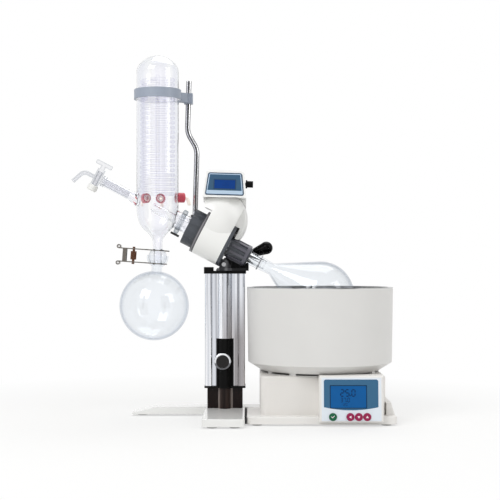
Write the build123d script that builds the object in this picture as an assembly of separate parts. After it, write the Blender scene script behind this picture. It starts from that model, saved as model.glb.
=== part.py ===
"""Bench rotary evaporator with a coil condenser, a lifting column, a tilted drive head and a heating bath.

Millimetres, +Z up, +X to the right and +Y to the back. The pieces are laid out from the mast's axis on the
bench, with the drive axis in the plane Y = 0. At the end they all move so that the origin lies on the bench
under the middle of the whole.
"""
import math
import os

from build123d import *

# Fits shared by many pieces
RUNNING = 0.05
CLEAR = 0.3
GAP = 0.5

# Base, beam and tray
FOOT_HEIGHT = 3
FOOT_RADIUS = 9
BASE_THICKNESS = 14
BASE_EDGE = 2
BEAM_LEFT = 178
BEAM_RIGHT = 290
BEAM_FRONT = 15
BEAM_DEPTH = 45
BEAM_TAPER = 47
BEAM_TIP = 3
FRONT_FOOT_WIDTH = 76
FRONT_FOOT_REACH = 154
FRONT_FOOT_CORNER = 6
TRAY_LEFT = 42
TRAY_LENGTH = 270
TRAY_REACH = 120
TRAY_CORNER = 10
STOP_THICKNESS = 16
STOP_SLANT = 7
STOP_HEIGHT = 23
STOP_DEPTH = 100
STOP_INSET = 2

# Mast and gas spring
MAST_WIDTH = 67
MAST_DEPTH = 32
MAST_WALL = 3
MAST_HEIGHT = 218
MAST_RIB = 11.4
BOLT_RADIUS = 2.5
BOLT_HEAD_RADIUS = 4.5
BOLT_HEAD_HEIGHT = 5
SPRING_RADIUS = 10
SPRING_WALL = 2
SPRING_LENGTH = 178
SPRING_FLOOR = 4
SPRING_ROD = 4
SPRING_PISTON = 8
SPRING_ROD_LOW = 50

# Sliding column
GUIDE_THICKNESS = 2
GUIDE_FIT = 0.08
GUIDE_HEIGHT = 28
SHELL_WALL = 2.5
SHELL_BOTTOM = 60
SHELL_HEIGHT = 212.5
SHELL_CORNER = 4
FLANGE_BOSS = 3.5
FLANGE_BOSS_INNER = 24
RIB_CLEAR = 1.2
COVER_WALL = 2.4
COVER_PLATE = 2
COVER_HALF_WIDTH = 23.5
GRIP_WALL = 1.4
GRIP_LIP = 2.5
WINDOW_TOP = 150
TRIM_HEIGHT = 4
TRIM_EDGE = 1
CAP_HEIGHT = 5.5
CAP_EDGE = 2
CAP_BOSS_WIDTH = 18
CAP_BOSS_HEIGHT = 7
BUTTON_X = -4
BUTTON_Z = 107
BUTTON_RADIUS = 12.4
BUTTON_LENGTH = 5.8
BUTTON_TRAVEL = 2
BEZEL_WALL = 3.5
BEZEL_LENGTH = 5
BOSS_REACH = 16

# Tilt pivot and lever
PIVOT_X = -2
PIVOT_Z = 290
PIN_RADIUS = 4
TONGUE_Y = 4
TONGUE_THICKNESS = 12
TONGUE_RADIUS = 8.5
EAR_RADIUS = 10
POST_RADIUS = 15
POST_SHOULDER = 5
BRACKET_RIGHT = 45
BRACKET_BLOCK_HEIGHT = 5
BRACKET_BLOCK_FRONT = 14
BRACKET_WALL_Y = 22
BRACKET_WALL_THICKNESS = 10
BRACKET_WALL_HEIGHT = 25
LEVER_ANGLE = 21.5
LEVER_LENGTH = 87
LEVER_HUB = 9
LEVER_HUB_LENGTH = 12
LEVER_ROOT = 5
LEVER_BALL = 12.5
PIVOT_NUT_RADIUS = 7
PIVOT_NUT_LENGTH = 5

# Drive axis: the middle of the front flange, and stations along the axis from it
FLANGE_X = -46.4
FLANGE_Z = 351.5
DRIVE_TILT = 27.5
FLANGE_HALF = 3
FLANGE_BOSS_RADIUS = 30
FLANGE_BOSS_LENGTH = 11
DRUM_RADIUS = 41.7
DRUM_LENGTH = 50
HOUSING_WALL = 3
REAR_FLANGE_THICKNESS = 6
SPINDLE_RADIUS = 17
SPINDLE_BORE = 12
SPINDLE_TAIL = 7
BEARING_WIDTH = 8
BEARING_RADIUS = 24
BEARING_SEAT = 4
COLLAR_RADIUS = 19.5
COLLAR_LENGTH = 44
COLLAR_STEP = 18
COLLAR_ROOM = 3
NUT_RADIUS = 36
NUT_LENGTH = 22
NUT_GRIPS = 8
NUT_GRIP_DEPTH = 2.2
NUT_LIP = 5
DUCT_RADIUS = 8.5
DUCT_WALL = 2
DUCT_BODY = 11.5
DUCT_INNER_END = -103
JOINT_LENGTH = 32
JOINT_RADIUS = 10.4
JOINT_TAPER = 1.6
SEAL_LENGTH = 9
SCREW_RADIUS = 2.4
SCREW_HEAD = 4.2
SCREW_HEAD_HEIGHT = 3.5
SCREW_CIRCLE = 36.5
SCREW_GRIP = 5
SCREW_BOSS = 4.5
FRONT_SCREW_TURNS = (0, 180)
REAR_SCREW_TURNS = (0, 50, 110, 250, 310)

# Evaporating flask
GLASS_WALL = 2
FLASK_BULB = 62.7
FLASK_CENTRE = 257.5
FLASK_CONE_ANGLE = 30
FLASK_NECK = 13
FLASK_THROAT = 11.3
CLIP_STATION = 126
CLIP_WIRE = 0.9
CLIP_ARM = 0.7

# Drive train inside the head
DRIVEN_PULLEY = 22
DRIVEN_STATION = 13
MOTOR_PULLEY = 9
PULLEY_WIDTH = 9
PULLEY_RIM = 1.6
PULLEY_RIM_WIDTH = 1
BELT_THICKNESS = 1.5
BELT_CLEAR = 0.15
MOTOR_OFFSET = 37
MOTOR_RADIUS = 19
MOTOR_LENGTH = 20
MOTOR_SHAFT = 3
MOTOR_PLATE = 3
MOTOR_PLATE_STATION = 22
MOTOR_BOSS = 8
MOTOR_BOSS_LENGTH = 2

# Round pod of the head and the console over it
POD_X = -13.9
POD_Z = 375
POD_RADIUS = 57
POD_DOME = 40
POD_DOME_START = 5
POD_KNUCKLE = 24
POD_SIDE_DOME = 10
POD_SIDE_KNUCKLE = 8
POD_BACK = 42
POD_LEFT = 24
POD_TOP = 39.6
POD_CORNER = 12
POD_FLANGE_ROOM = 4
REAR_COVER = 3.5
HEAD_LEAN = 1.7
CONSOLE_X = 12.4
CONSOLE_BOTTOM_WIDTH = 81
CONSOLE_TOP_WIDTH = 71
CONSOLE_HEIGHT = 51
CONSOLE_SKIRT = 26
CONSOLE_LEFT_SKIRT = 6
CONSOLE_FRONT = 44
CONSOLE_LEAN_BACK = 14
CONSOLE_BACK_SLOPE = 14
CONSOLE_CORNER = 7
CONSOLE_WALL = 3
PANEL_MARGIN_SIDE = 4.5
PANEL_MARGIN_LOW = 4.5
PANEL_MARGIN_HIGH = 5
PANEL_THICKNESS = 2.6
PANEL_PROUD = 0.8
PANEL_CORNER = 4
LCD_WIDTH = 38.8
LCD_HEIGHT = 17
LCD_UP = 25.5
LCD_THICKNESS = 1.6
KNOB_UP = 28
KNOB_FORWARD = 10
KNOB_RADIUS = 6.2
KNOB_SKIRT = 8
KNOB_SKIRT_LENGTH = 3
KNOB_LENGTH = 15
KNOB_FLUTES = 12
KNOB_FLUTE_RADIUS = 1
KNOB_SHAFT = 3
KNOB_SHAFT_LENGTH = 10

# Condenser
CONDENSER_X = -128
CONDENSER_RADIUS = 40
CONDENSER_WALL = 2.5
CONDENSER_APEX = 686
CONDENSER_DOME = 31
CONDENSER_KNUCKLE = 22
CONDENSER_FOOT = 403
FUNNEL_MID_RADIUS = 27.7
FUNNEL_MID = 358
FUNNEL_END = 328
CONDENSER_NECK = 9
BALL_Z = 304
BALL_RADIUS = 17.5
BALL_MOUTH = 10
NECK_BORE = 6.5
BRANCH_RADIUS = 17
BRANCH_WALL = 2.5
BRANCH_FLARE = 10
GLASS_FLANGE = 26
GLASS_FLANGE_THICKNESS = 5
SOCKET_RADIUS = 9
SOCKET_BORE = 7.2
SOCKET_MOUTH = -208
SOCKET_START = -152
SOCKET_FLARE = 13
SOCKET_FLARE_LENGTH = 20
SOCKET_BEAD = 1.4
COIL_RADIUS = 30
COIL_TUBE = 3.2
COIL_PITCH = 9
COIL_TURNS = 25
COIL_CORE = 3.6
COIL_KNOB = 3.7
COIL_LINK = 2.9
PORT_Z = 418
PORT_ANGLES = [-37, 3, 65]
PORT_RADIUS = 6.5
PORT_BORE = 3.9
PORT_LENGTH = 8
CAP_RADIUS = 9.5
CAP_LENGTH = 13
CAP_CLEAR = 0.1
CAP_RIDGES = 16
CAP_RIDGE_RADIUS = 0.7
NOZZLE_RADIUS = 3.6
NOZZLE_BORE = 2
NOZZLE_FLANGE = 5.8
NOZZLE_FLANGE_LENGTH = 3
NOZZLE_BEND = 7
NOZZLE_DROP = 15
NOZZLE_TURN = 70
NOZZLE_BARB = 0.8

# Condenser support
ROD_RADIUS = 5
ROD_Y = 44
ROD_LOW_X = -59.8
ROD_LOW_Z = 362
ROD_LEAN_RISE = 0.0295
ROD_KNEE_Z = 514
ROD_STEP_X = -18.6
ROD_STEP_Z = 31
ROD_TOP_Z = 646
ROD_BEND = 40
ROD_SOCKET_RADIUS = 8.5
ROD_SOCKET_LENGTH = 26
RING_Z = 612
RING_HEIGHT = 18
RING_WALL = 4.6
RING_ARM = 12
RING_SPLIT = 3
RING_BLOCK = 17
CLAMP_SCREW_RADIUS = 2.5
CLAMP_SCREW_HEAD = 5

# Feed stopcock
STOPCOCK_STATION = -221
BARREL_RADIUS = 7.5
BARREL_HALF = 14
KEY_RADIUS = 4.5
KEY_HIGH = 29
KEY_LOW = 20
HANDLE_LENGTH = 33
HANDLE_RADIUS = 4
KEY_NUT_RADIUS = 9.5
KEY_NUT_LENGTH = 12
FEED_RADIUS = 4
FEED_BORE = 2.4
FEED_BEND_X = -268
FEED_END_X = -289
FEED_END_Z = 448
FEED_BEND = 13

# Receiving flask and its joint clamp
RECEIVER_LEAN = 4
RECEIVER_DROP = 92.5
RECEIVER_BULB = 65.5
RECEIVER_NECK = 10
CUP_WALL = 2.9
CUP_RIM = 3
CUP_FIT = 0.1
FORK_THICKNESS = 2
FORK_HALF = 11.5
FORK_LEFT = 74
FORK_RADIUS = 25
FORK_ARM = 9
FORK_UPPER_SLOT = 14.4
FORK_LOWER_SLOT = 18
FORK_WEB_LEFT = 66
FORK_WEB_LENGTH = 7
FORK_CURL = 3
THUMB_X = -46
THUMB_RADIUS = 5.6
THUMB_HALF = 8
THUMB_SHAFT = 2.5

# Heating bath
BATH_X = 180
BATH_RIM_RADIUS = 138
BATH_RIM_Z = 246
BATH_WALL_LOW = 107
BATH_WALL_RADIUS = 136
BATH_CONE_LOW = 92.5
BATH_CONE_RADIUS = 113
BATH_WALL = 3
BATH_WIRE_HOLE = 30
VENT_RADIUS = 111
VENT_WALL = 6
VENT_SLOTS = 12
VENT_SLOT_WIDTH = 45
VENT_SLOT_HEIGHT = 3.4
PAN_RADIUS = 130
PAN_WALL = 1.2
PAN_FLOOR = 115
PAN_CORNER = 14
HEATER_RADIUS = 95
HEATER_INNER = 20
HEATER_THICKNESS = 9
HOUSING_HALF = 113.5
HOUSING_HALF_DEPTH = 100
HOUSING_HEIGHT = 70.5
HOUSING_CORNER = 12
CONTROL_LEFT = 171
CONTROL_WIDTH = 115
CONTROL_LOW = 5
CONTROL_LIFT = 3
CONTROL_HEIGHT = 86.6
CONTROL_FRONT = 135
CONTROL_LEAN = 6
CONTROL_CORNER = 5
CONTROL_WALL = 4
OVERLAY_LEFT = 8
OVERLAY_RIGHT = 10
OVERLAY_LOW = 25
OVERLAY_HIGH = 7
OVERLAY_THICKNESS = 1.5
OVERLAY_CORNER = 4
BATH_LCD_LEFT = 19.5
BATH_LCD_WIDTH = 64.5
BATH_LCD_LOW = 29
BATH_LCD_HEIGHT = 40
KEY_CAP_RADIUS = 7.1
KEY_CAP_LENGTH = 5.5
KEY_CAP_PROUD = 2
KEY_TRAVEL = 1
KEY_ROW = 13.4
KEY_PLACES = {"start_key": 24, "left_key": 55, "down_key": 70, "up_key": 85}
INLET_X = -60
INLET_Z = 42
INLET_WIDTH = 30
INLET_HEIGHT = 22
INLET_DEPTH = 16
INLET_FLANGE = 4
INLET_FLANGE_THICKNESS = 2

# Levels and places that follow from the sizes above
BASE_TOP = FOOT_HEIGHT + BASE_THICKNESS
BEAM_BACK = BEAM_FRONT + BEAM_DEPTH
TRAY_RIGHT = TRAY_LEFT + TRAY_LENGTH
MAST_TOP = BASE_TOP + MAST_HEIGHT
SPRING_Y = MAST_DEPTH / 2
SPRING_LOW = BASE_TOP + MAST_WALL
SPRING_TOP = SPRING_LOW + SPRING_LENGTH
SHELL_TOP = SHELL_BOTTOM + SHELL_HEIGHT
SHELL_IN_X = MAST_WIDTH / 2 + GUIDE_THICKNESS
SHELL_OUT_X = SHELL_IN_X + SHELL_WALL
SHELL_IN_FRONT = -GUIDE_THICKNESS
SHELL_IN_BACK = MAST_DEPTH + GUIDE_THICKNESS
SHELL_FRONT = SHELL_IN_FRONT - SHELL_WALL
SHELL_BACK = SHELL_IN_BACK + SHELL_WALL
RIB_BORE = MAST_RIB + RIB_CLEAR
CAP_TOP = SHELL_TOP + CAP_HEIGHT
DRUM_END = FLANGE_HALF + DRUM_LENGTH
REAR_END = DRUM_END + REAR_FLANGE_THICKNESS
COLLAR_START = REAR_END + 1
COLLAR_END = COLLAR_START + COLLAR_LENGTH
JOINT_START = COLLAR_END + 2
BOSS_END = -FLANGE_HALF - FLANGE_BOSS_LENGTH
GLASS_FLANGE_START = BOSS_END - GLASS_FLANGE_THICKNESS - GAP
NUT_START = BOSS_END - NUT_LENGTH + FLANGE_BOSS_LENGTH - GAP
NUT_END = NUT_START + NUT_LENGTH
PORT_END = CONDENSER_RADIUS + PORT_LENGTH
CUP_RADIUS = BALL_RADIUS + CUP_WALL
PAN_LOW = PAN_FLOOR - PAN_WALL
HOUSING_TOP = BASE_TOP + HOUSING_HEIGHT

ANGLE = math.radians(DRIVE_TILT)
DRIVE_DIR = Vector(math.cos(ANGLE), 0, -math.sin(ANGLE))
DRIVE_UP = Vector(math.sin(ANGLE), 0, math.cos(ANGLE))
FLANGE = Vector(FLANGE_X, 0, FLANGE_Z)
DRIVE = Location(Plane(origin=FLANGE, x_dir=DRIVE_UP, z_dir=DRIVE_DIR))
PIVOT_STATION = (Vector(PIVOT_X, 0, PIVOT_Z) - FLANGE).dot(DRIVE_DIR)
PIVOT_BELOW = (Vector(PIVOT_X, 0, PIVOT_Z) - FLANGE).dot(DRIVE_UP)
AXIS_STATION = (CONDENSER_X - FLANGE_X) / DRIVE_DIR.X
HEAD_FRONT = Plane(origin=(POD_X, 0, POD_Z), x_dir=(1, 0, 0), z_dir=(0, -1, 0))
POD = Location(HEAD_FRONT)
CONSOLE = Location(HEAD_FRONT) * Location((0, 0, 0), (0, 0, -HEAD_LEAN)) * Pos(CONSOLE_X, POD_TOP + GAP, 0)
PANEL_TURN = math.degrees(math.atan2(CONSOLE_LEAN_BACK, CONSOLE_HEIGHT))
PANEL_FACE = CONSOLE * Location((0, 0, CONSOLE_FRONT), (-PANEL_TURN, 0, 0))
CONDENSER = Pos(CONDENSER_X, 0, 0)
RECEIVER = Location((CONDENSER_X, 0, BALL_Z), (0, RECEIVER_LEAN, 0))
STOPCOCK = DRIVE * Location((0, 0, STOPCOCK_STATION), (0, 90, 0))
BATH = Pos(BATH_X, 0, 0)
CONTROL_TURN = math.degrees(math.atan2(CONTROL_LEAN, CONTROL_HEIGHT))
CONTROL_FRAME = Plane(origin=(CONTROL_LEFT, -CONTROL_FRONT, CONTROL_LOW), x_dir=(1, 0, 0), z_dir=(0, -1, 0))
CONTROL_FACE = Location(CONTROL_FRAME) * Location((0, 0, 0), (-CONTROL_TURN, 0, 0))

LOW = (Align.CENTER, Align.CENTER, Align.MIN)
CORNER = (Align.MIN, Align.MIN, Align.MIN)


def block(x_range, y_range, z_range):
    """Box between two corners, given as ranges."""
    sizes = [high - low for low, high in (x_range, y_range, z_range)]
    return Pos(x_range[0], y_range[0], z_range[0]) * Box(*sizes, align=CORNER)


def disc(radius, low, high):
    """Cylinder about Z between two heights."""
    return Pos(0, 0, low) * Cylinder(radius, high - low, align=LOW)


def tube(outer, inner, low, high):
    """Ring about Z between two heights."""
    return disc(outer, low, high) - disc(inner, low, high)


def turned(outline):
    """Solid of revolution about Z from a closed outline of radius and height."""
    return revolve(Plane.XZ * make_face(outline), Axis.Z)


def turned_points(*points):
    """Solid of revolution about Z from corners given as radius and height."""
    return turned(Polyline(*points, close=True))


def dome(radius, height, knuckle, base):
    """Two tangent arcs of a dome's half section, from its edge up to the axis."""
    across = radius - knuckle
    up = height - knuckle
    drop = (across ** 2 - up ** 2) / (2 * up)
    crown = drop + height
    touch_turn = math.atan2(drop, across)
    crown_turn = (touch_turn + math.pi / 2) / 2
    touch = (crown * math.cos(touch_turn), base - drop + crown * math.sin(touch_turn))
    low = (across + knuckle * math.cos(touch_turn / 2), base + knuckle * math.sin(touch_turn / 2))
    high = (crown * math.cos(crown_turn), base - drop + crown * math.sin(crown_turn))
    return [ThreePointArc((radius, base), low, touch), ThreePointArc(touch, high, (0, base + height))]


def lathe_y(radius, front, back, x, z):
    """Cylinder along Y between two depths."""
    frame = Location(Plane(origin=(x, front, z), x_dir=(1, 0, 0), z_dir=(0, 1, 0)))
    return frame * disc(radius, 0, back - front)


def along_y(outline, front, back):
    """Prism with corners in X and Z, between two depths."""
    face = make_face(Polyline(*[(x, front, z) for x, z in outline], close=True))
    return extrude(face, amount=back - front, dir=(0, 1, 0))


def along_x(outline, left, right):
    """Prism with corners in Y and Z, between two places in X."""
    face = make_face(Polyline(*[(left, y, z) for y, z in outline], close=True))
    return extrude(face, amount=right - left, dir=(1, 0, 0))


def upright(sketch, low, high):
    """Prism of a plan sketch between two heights."""
    return Pos(0, 0, low) * extrude(sketch, amount=high - low)


def rectangle(x_range, y_range):
    """Plan rectangle between two corners."""
    width = x_range[1] - x_range[0]
    depth = y_range[1] - y_range[0]
    return Pos(x_range[0], y_range[0]) * Rectangle(width, depth, align=(Align.MIN, Align.MIN))


def rounded(solid, axis, radius):
    """Solid with all its edges along one axis rounded."""
    return fillet(solid.edges().filter_by(axis), radius)


def bent_tube(points, radii, outer, bore):
    """Round tube along straight runs joined by arcs."""
    path = FilletPolyline(*points, radius=radii)
    section = Plane(origin=path @ 0, z_dir=path % 0)
    shape = sweep(section * Circle(outer), path)
    if bore:
        shape -= sweep(section * Circle(bore), path)
    return shape


# Base, feet and tray


def mast_bolt_places():
    """Four bolts near the corners of the mast's floor."""
    half = MAST_WIDTH / 2 - MAST_WALL - 2 * BOLT_RADIUS
    near = MAST_WALL + 2 * BOLT_RADIUS
    return [(side * half, y) for side in (-1, 1) for y in (near, MAST_DEPTH - near)]


def stand_base():
    taper = [(-BEAM_LEFT, FOOT_HEIGHT), (BEAM_RIGHT, FOOT_HEIGHT), (BEAM_RIGHT, BASE_TOP),
             (BEAM_TAPER - BEAM_LEFT, BASE_TOP), (-BEAM_LEFT, FOOT_HEIGHT + BEAM_TIP)]
    half = FRONT_FOOT_WIDTH / 2
    foot = block((-half, half), (-FRONT_FOOT_REACH, BEAM_BACK), (FOOT_HEIGHT, BASE_TOP))
    front_corners = foot.edges().filter_by(Axis.Z).group_by(Axis.Y)[0]
    foot = fillet(front_corners, FRONT_FOOT_CORNER)
    foot = fillet(foot.faces().sort_by(Axis.Z)[-1].edges(), BASE_EDGE)
    base = foot + along_y(taper, BEAM_FRONT, BEAM_BACK)
    for x, y in mast_bolt_places():
        base -= Pos(x, y, 0) * disc(BOLT_RADIUS + CLEAR, 0, BASE_TOP)
        base -= Pos(x, y, 0) * disc(BOLT_HEAD_RADIUS + CLEAR, 0, FOOT_HEIGHT + BOLT_HEAD_HEIGHT)
    return base


def rubber_feet():
    front = -FRONT_FOOT_REACH + 2 * FOOT_RADIUS
    side = FRONT_FOOT_WIDTH / 2 - 2 * FOOT_RADIUS
    beam = BEAM_FRONT + BEAM_DEPTH / 2
    tray_front = -TRAY_REACH + 2 * FOOT_RADIUS
    places = [(-side, front), (side, front), (2 * FOOT_RADIUS - BEAM_LEFT, beam),
              (BEAM_RIGHT - 2 * FOOT_RADIUS, beam), (TRAY_LEFT + 2 * FOOT_RADIUS, tray_front),
              (TRAY_RIGHT - 2 * FOOT_RADIUS, tray_front)]
    return Compound([Pos(x, y, 0) * disc(FOOT_RADIUS, 0, FOOT_HEIGHT) for x, y in places])


def bath_tray():
    plate = block((TRAY_LEFT, TRAY_RIGHT), (-TRAY_REACH, BEAM_FRONT), (FOOT_HEIGHT, BASE_TOP))
    front_corners = plate.edges().filter_by(Axis.Z).group_by(Axis.Y)[0]
    plate = fillet(front_corners, TRAY_CORNER)
    plate = fillet(plate.faces().sort_by(Axis.Z)[-1].edges().group_by(Axis.Y)[0], BASE_EDGE)
    right = TRAY_RIGHT - STOP_INSET
    left = right - STOP_THICKNESS
    top = BASE_TOP + STOP_HEIGHT
    stop = along_y([(left, BASE_TOP), (right, BASE_TOP), (right - STOP_SLANT, top), (left, top)], -STOP_DEPTH, 0)
    stop = fillet(stop.edges().group_by(Axis.Y)[0].sort_by(Axis.Z)[1:], BASE_EDGE)
    return plate + stop


# Mast, gas spring and guides


def mast_plan(grow):
    """Outline of the mast with its front rib, grown by a clearance."""
    half = MAST_WIDTH / 2 + grow
    return rectangle((-half, half), (-grow, MAST_DEPTH + grow)) + Circle(MAST_RIB + grow)


def mast():
    hollow_half = MAST_WIDTH / 2 - MAST_WALL
    hollow = rectangle((-hollow_half, hollow_half), (MAST_WALL, MAST_DEPTH - MAST_WALL))
    body = upright(mast_plan(0), BASE_TOP, MAST_TOP)
    body += upright(guide_plan(GUIDE_FIT, 0), MAST_TOP - GUIDE_HEIGHT, MAST_TOP)
    body -= upright(hollow, SPRING_LOW, MAST_TOP)
    for x, y in mast_bolt_places():
        body -= Pos(x, y, 0) * disc(BOLT_RADIUS + RUNNING, BASE_TOP, SPRING_LOW)
    return body


def mast_bolts():
    shank = disc(BOLT_RADIUS, FOOT_HEIGHT + BOLT_HEAD_HEIGHT, SPRING_LOW)
    head = disc(BOLT_HEAD_RADIUS, FOOT_HEIGHT, FOOT_HEIGHT + BOLT_HEAD_HEIGHT)
    bolt = head + shank
    return Compound([Pos(x, y, 0) * bolt for x, y in mast_bolt_places()])


def gas_spring_cylinder():
    inner = SPRING_RADIUS - SPRING_WALL
    barrel = disc(SPRING_RADIUS, SPRING_LOW, SPRING_TOP)
    barrel -= disc(inner, SPRING_LOW + SPRING_FLOOR, SPRING_TOP - SPRING_PISTON)
    return Pos(0, SPRING_Y, 0) * (barrel - disc(SPRING_ROD + RUNNING, SPRING_TOP - SPRING_PISTON, SPRING_TOP))


def gas_spring_rod():
    piston = disc(SPRING_RADIUS - SPRING_WALL - RUNNING, SPRING_ROD_LOW, SPRING_ROD_LOW + SPRING_PISTON)
    return Pos(0, SPRING_Y, 0) * (piston + disc(SPRING_ROD, SPRING_ROD_LOW, SHELL_TOP))


def guide_plan(outer_fit, inner_fit):
    """Frame between the mast and the column's inside, with a fit on each side."""
    out_x = SHELL_IN_X - outer_fit
    outside = rectangle((-out_x, out_x), (SHELL_IN_FRONT + outer_fit, SHELL_IN_BACK - outer_fit))
    return outside - mast_plan(inner_fit)


# Sliding column


def column_shell():
    outside = rectangle((-SHELL_OUT_X, SHELL_OUT_X), (SHELL_FRONT, SHELL_BACK))
    boss_front = SHELL_FRONT - FLANGE_BOSS
    for side in (-1, 1):
        ends = sorted((side * FLANGE_BOSS_INNER, side * SHELL_OUT_X))
        outside += rectangle(ends, (boss_front, SHELL_BACK))
    outer_corners = [v for v in outside.vertices() if abs(abs(v.X) - SHELL_OUT_X) < RUNNING]
    inner_corners = [v for v in outside.vertices() if abs(v.Y - boss_front) < RUNNING]
    inner_corners = [v for v in inner_corners if abs(abs(v.X) - FLANGE_BOSS_INNER) < RUNNING]
    outside = fillet(outer_corners + inner_corners, FLANGE_BOSS - RUNNING)
    inside = rectangle((-SHELL_IN_X, SHELL_IN_X), (SHELL_IN_FRONT, SHELL_IN_BACK))
    slot = rectangle((-RIB_BORE, RIB_BORE), (boss_front, 0))
    cover = front_half(RIB_BORE + COVER_WALL, COVER_HALF_WIDTH, COVER_PLATE)
    shell = upright(outside - inside - slot, SHELL_BOTTOM, SHELL_TOP)
    return shell + upright(cover, WINDOW_TOP, SHELL_TOP)


def front_half(radius, wing, plate):
    """Half round with side wings that lie on the column's front face, hollow for the mast's rib."""
    sketch = Circle(radius) + rectangle((-wing, wing), (SHELL_FRONT - plate, SHELL_FRONT))
    behind = rectangle((-2 * wing, 2 * wing), (SHELL_FRONT, 2 * radius))
    return sketch - Circle(RIB_BORE) - behind


def lift_grip():
    plan = front_half(RIB_BORE + GRIP_WALL, RIB_BORE + GRIP_WALL + GRIP_LIP, GRIP_WALL)
    grip = upright(plan, SHELL_BOTTOM, WINDOW_TOP)
    boss = lathe_y(BUTTON_RADIUS + BEZEL_WALL, -BOSS_REACH, SHELL_FRONT, BUTTON_X, BUTTON_Z)
    grip += boss - disc(RIB_BORE, SHELL_BOTTOM, WINDOW_TOP)
    half = SHELL_OUT_X + TRIM_EDGE
    front = SHELL_FRONT - FLANGE_BOSS - TRIM_EDGE
    trim = rectangle((-half, half), (front, SHELL_BACK + TRIM_EDGE))
    trim = fillet(trim.vertices(), SHELL_CORNER) + Circle(RIB_BORE + COVER_WALL)
    return grip + upright(trim - mast_plan(GUIDE_FIT), SHELL_BOTTOM - TRIM_HEIGHT, SHELL_BOTTOM)


def button_bezel():
    back = -BOSS_REACH
    outer = lathe_y(BUTTON_RADIUS + BEZEL_WALL, back - BEZEL_LENGTH, back, BUTTON_X, BUTTON_Z)
    outer = fillet(outer.edges().group_by(Axis.Y)[0], BEZEL_WALL / 2)
    return outer - lathe_y(BUTTON_RADIUS + 2 * RUNNING, back - BEZEL_LENGTH, back, BUTTON_X, BUTTON_Z)


def lift_button():
    back = -BOSS_REACH - BUTTON_TRAVEL - CLEAR
    cap = lathe_y(BUTTON_RADIUS, back - BUTTON_LENGTH, back, BUTTON_X, BUTTON_Z)
    return fillet(cap.edges().group_by(Axis.Y)[0], BUTTON_LENGTH / 3)


def column_cap():
    half = SHELL_OUT_X + CAP_EDGE
    front = SHELL_FRONT - FLANGE_BOSS
    plan = fillet(rectangle((-half, half), (front, SHELL_BACK + CAP_EDGE)).vertices(), SHELL_CORNER)
    plan += Circle(RIB_BORE + COVER_WALL)
    boss = block((-half, CAP_BOSS_WIDTH - half), (front, SHELL_BACK), (CAP_TOP, CAP_TOP + CAP_BOSS_HEIGHT))
    return upright(plan, SHELL_TOP, CAP_TOP) + rounded(boss, Axis.Z, SHELL_CORNER)


# Tilt bracket, pin and lever


def tilt_bracket():
    post = Pos(PIVOT_X, TONGUE_Y, 0) * disc(POST_RADIUS, CAP_TOP, PIVOT_Z)
    ears = lathe_y(EAR_RADIUS, TONGUE_Y - POST_RADIUS, TONGUE_Y + POST_RADIUS, PIVOT_X, PIVOT_Z)
    post += ears & (Pos(PIVOT_X, TONGUE_Y, 0) * disc(POST_RADIUS, CAP_TOP, PIVOT_Z + EAR_RADIUS))
    head_room = block((-DRUM_RADIUS * 3, DRUM_RADIUS), (-DRUM_RADIUS, DRUM_RADIUS), (0, REAR_END + FLANGE_HALF))
    above = block((-DRUM_RADIUS * 2, DRUM_RADIUS * 2), (-DRUM_RADIUS, DRUM_RADIUS),
                  (CAP_TOP + POST_SHOULDER, PIVOT_Z + DRUM_RADIUS))
    head_room = (DRIVE * head_room) & above
    post -= head_room
    slot_half = TONGUE_THICKNESS / 2 + GAP
    slot_low = PIVOT_Z - TONGUE_RADIUS - GAP
    post -= block((PIVOT_X - 2 * POST_RADIUS, PIVOT_X + 2 * POST_RADIUS),
                  (TONGUE_Y - slot_half, TONGUE_Y + slot_half), (slot_low, PIVOT_Z + 2 * EAR_RADIUS))
    wall_back = BRACKET_WALL_Y + BRACKET_WALL_THICKNESS
    low_block = block((PIVOT_X, BRACKET_RIGHT), (-BRACKET_BLOCK_FRONT, wall_back),
                      (CAP_TOP, CAP_TOP + BRACKET_BLOCK_HEIGHT))
    low_block = fillet(low_block.edges().filter_by(Axis.Z).group_by(Axis.X)[-1], POST_RADIUS / 2)
    low_block -= block((PIVOT_X - POST_RADIUS, PIVOT_X + POST_RADIUS),
                       (TONGUE_Y - slot_half, TONGUE_Y + slot_half), (slot_low, PIVOT_Z))
    wall = block((PIVOT_X - EAR_RADIUS, BRACKET_RIGHT), (BRACKET_WALL_Y, wall_back),
                 (CAP_TOP, CAP_TOP + BRACKET_WALL_HEIGHT))
    wall = fillet(wall.edges().filter_by(Axis.Y).group_by(Axis.Z)[-1], EAR_RADIUS) - head_room
    bracket = post + low_block + wall
    return bracket - lathe_y(PIN_RADIUS + RUNNING, TONGUE_Y - 2 * POST_RADIUS, 2 * wall_back, PIVOT_X, PIVOT_Z)


LEVER_FRONT = BRACKET_WALL_Y + BRACKET_WALL_THICKNESS + GAP
LEVER_BACK = LEVER_FRONT + LEVER_HUB_LENGTH


def tilt_pin():
    front = TONGUE_Y - POST_RADIUS
    pin = lathe_y(PIN_RADIUS, front, LEVER_BACK + GAP, PIVOT_X, PIVOT_Z)
    nut = lathe_y(PIVOT_NUT_RADIUS, LEVER_BACK + GAP, LEVER_BACK + GAP + PIVOT_NUT_LENGTH, PIVOT_X, PIVOT_Z)
    return pin + nut


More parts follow.
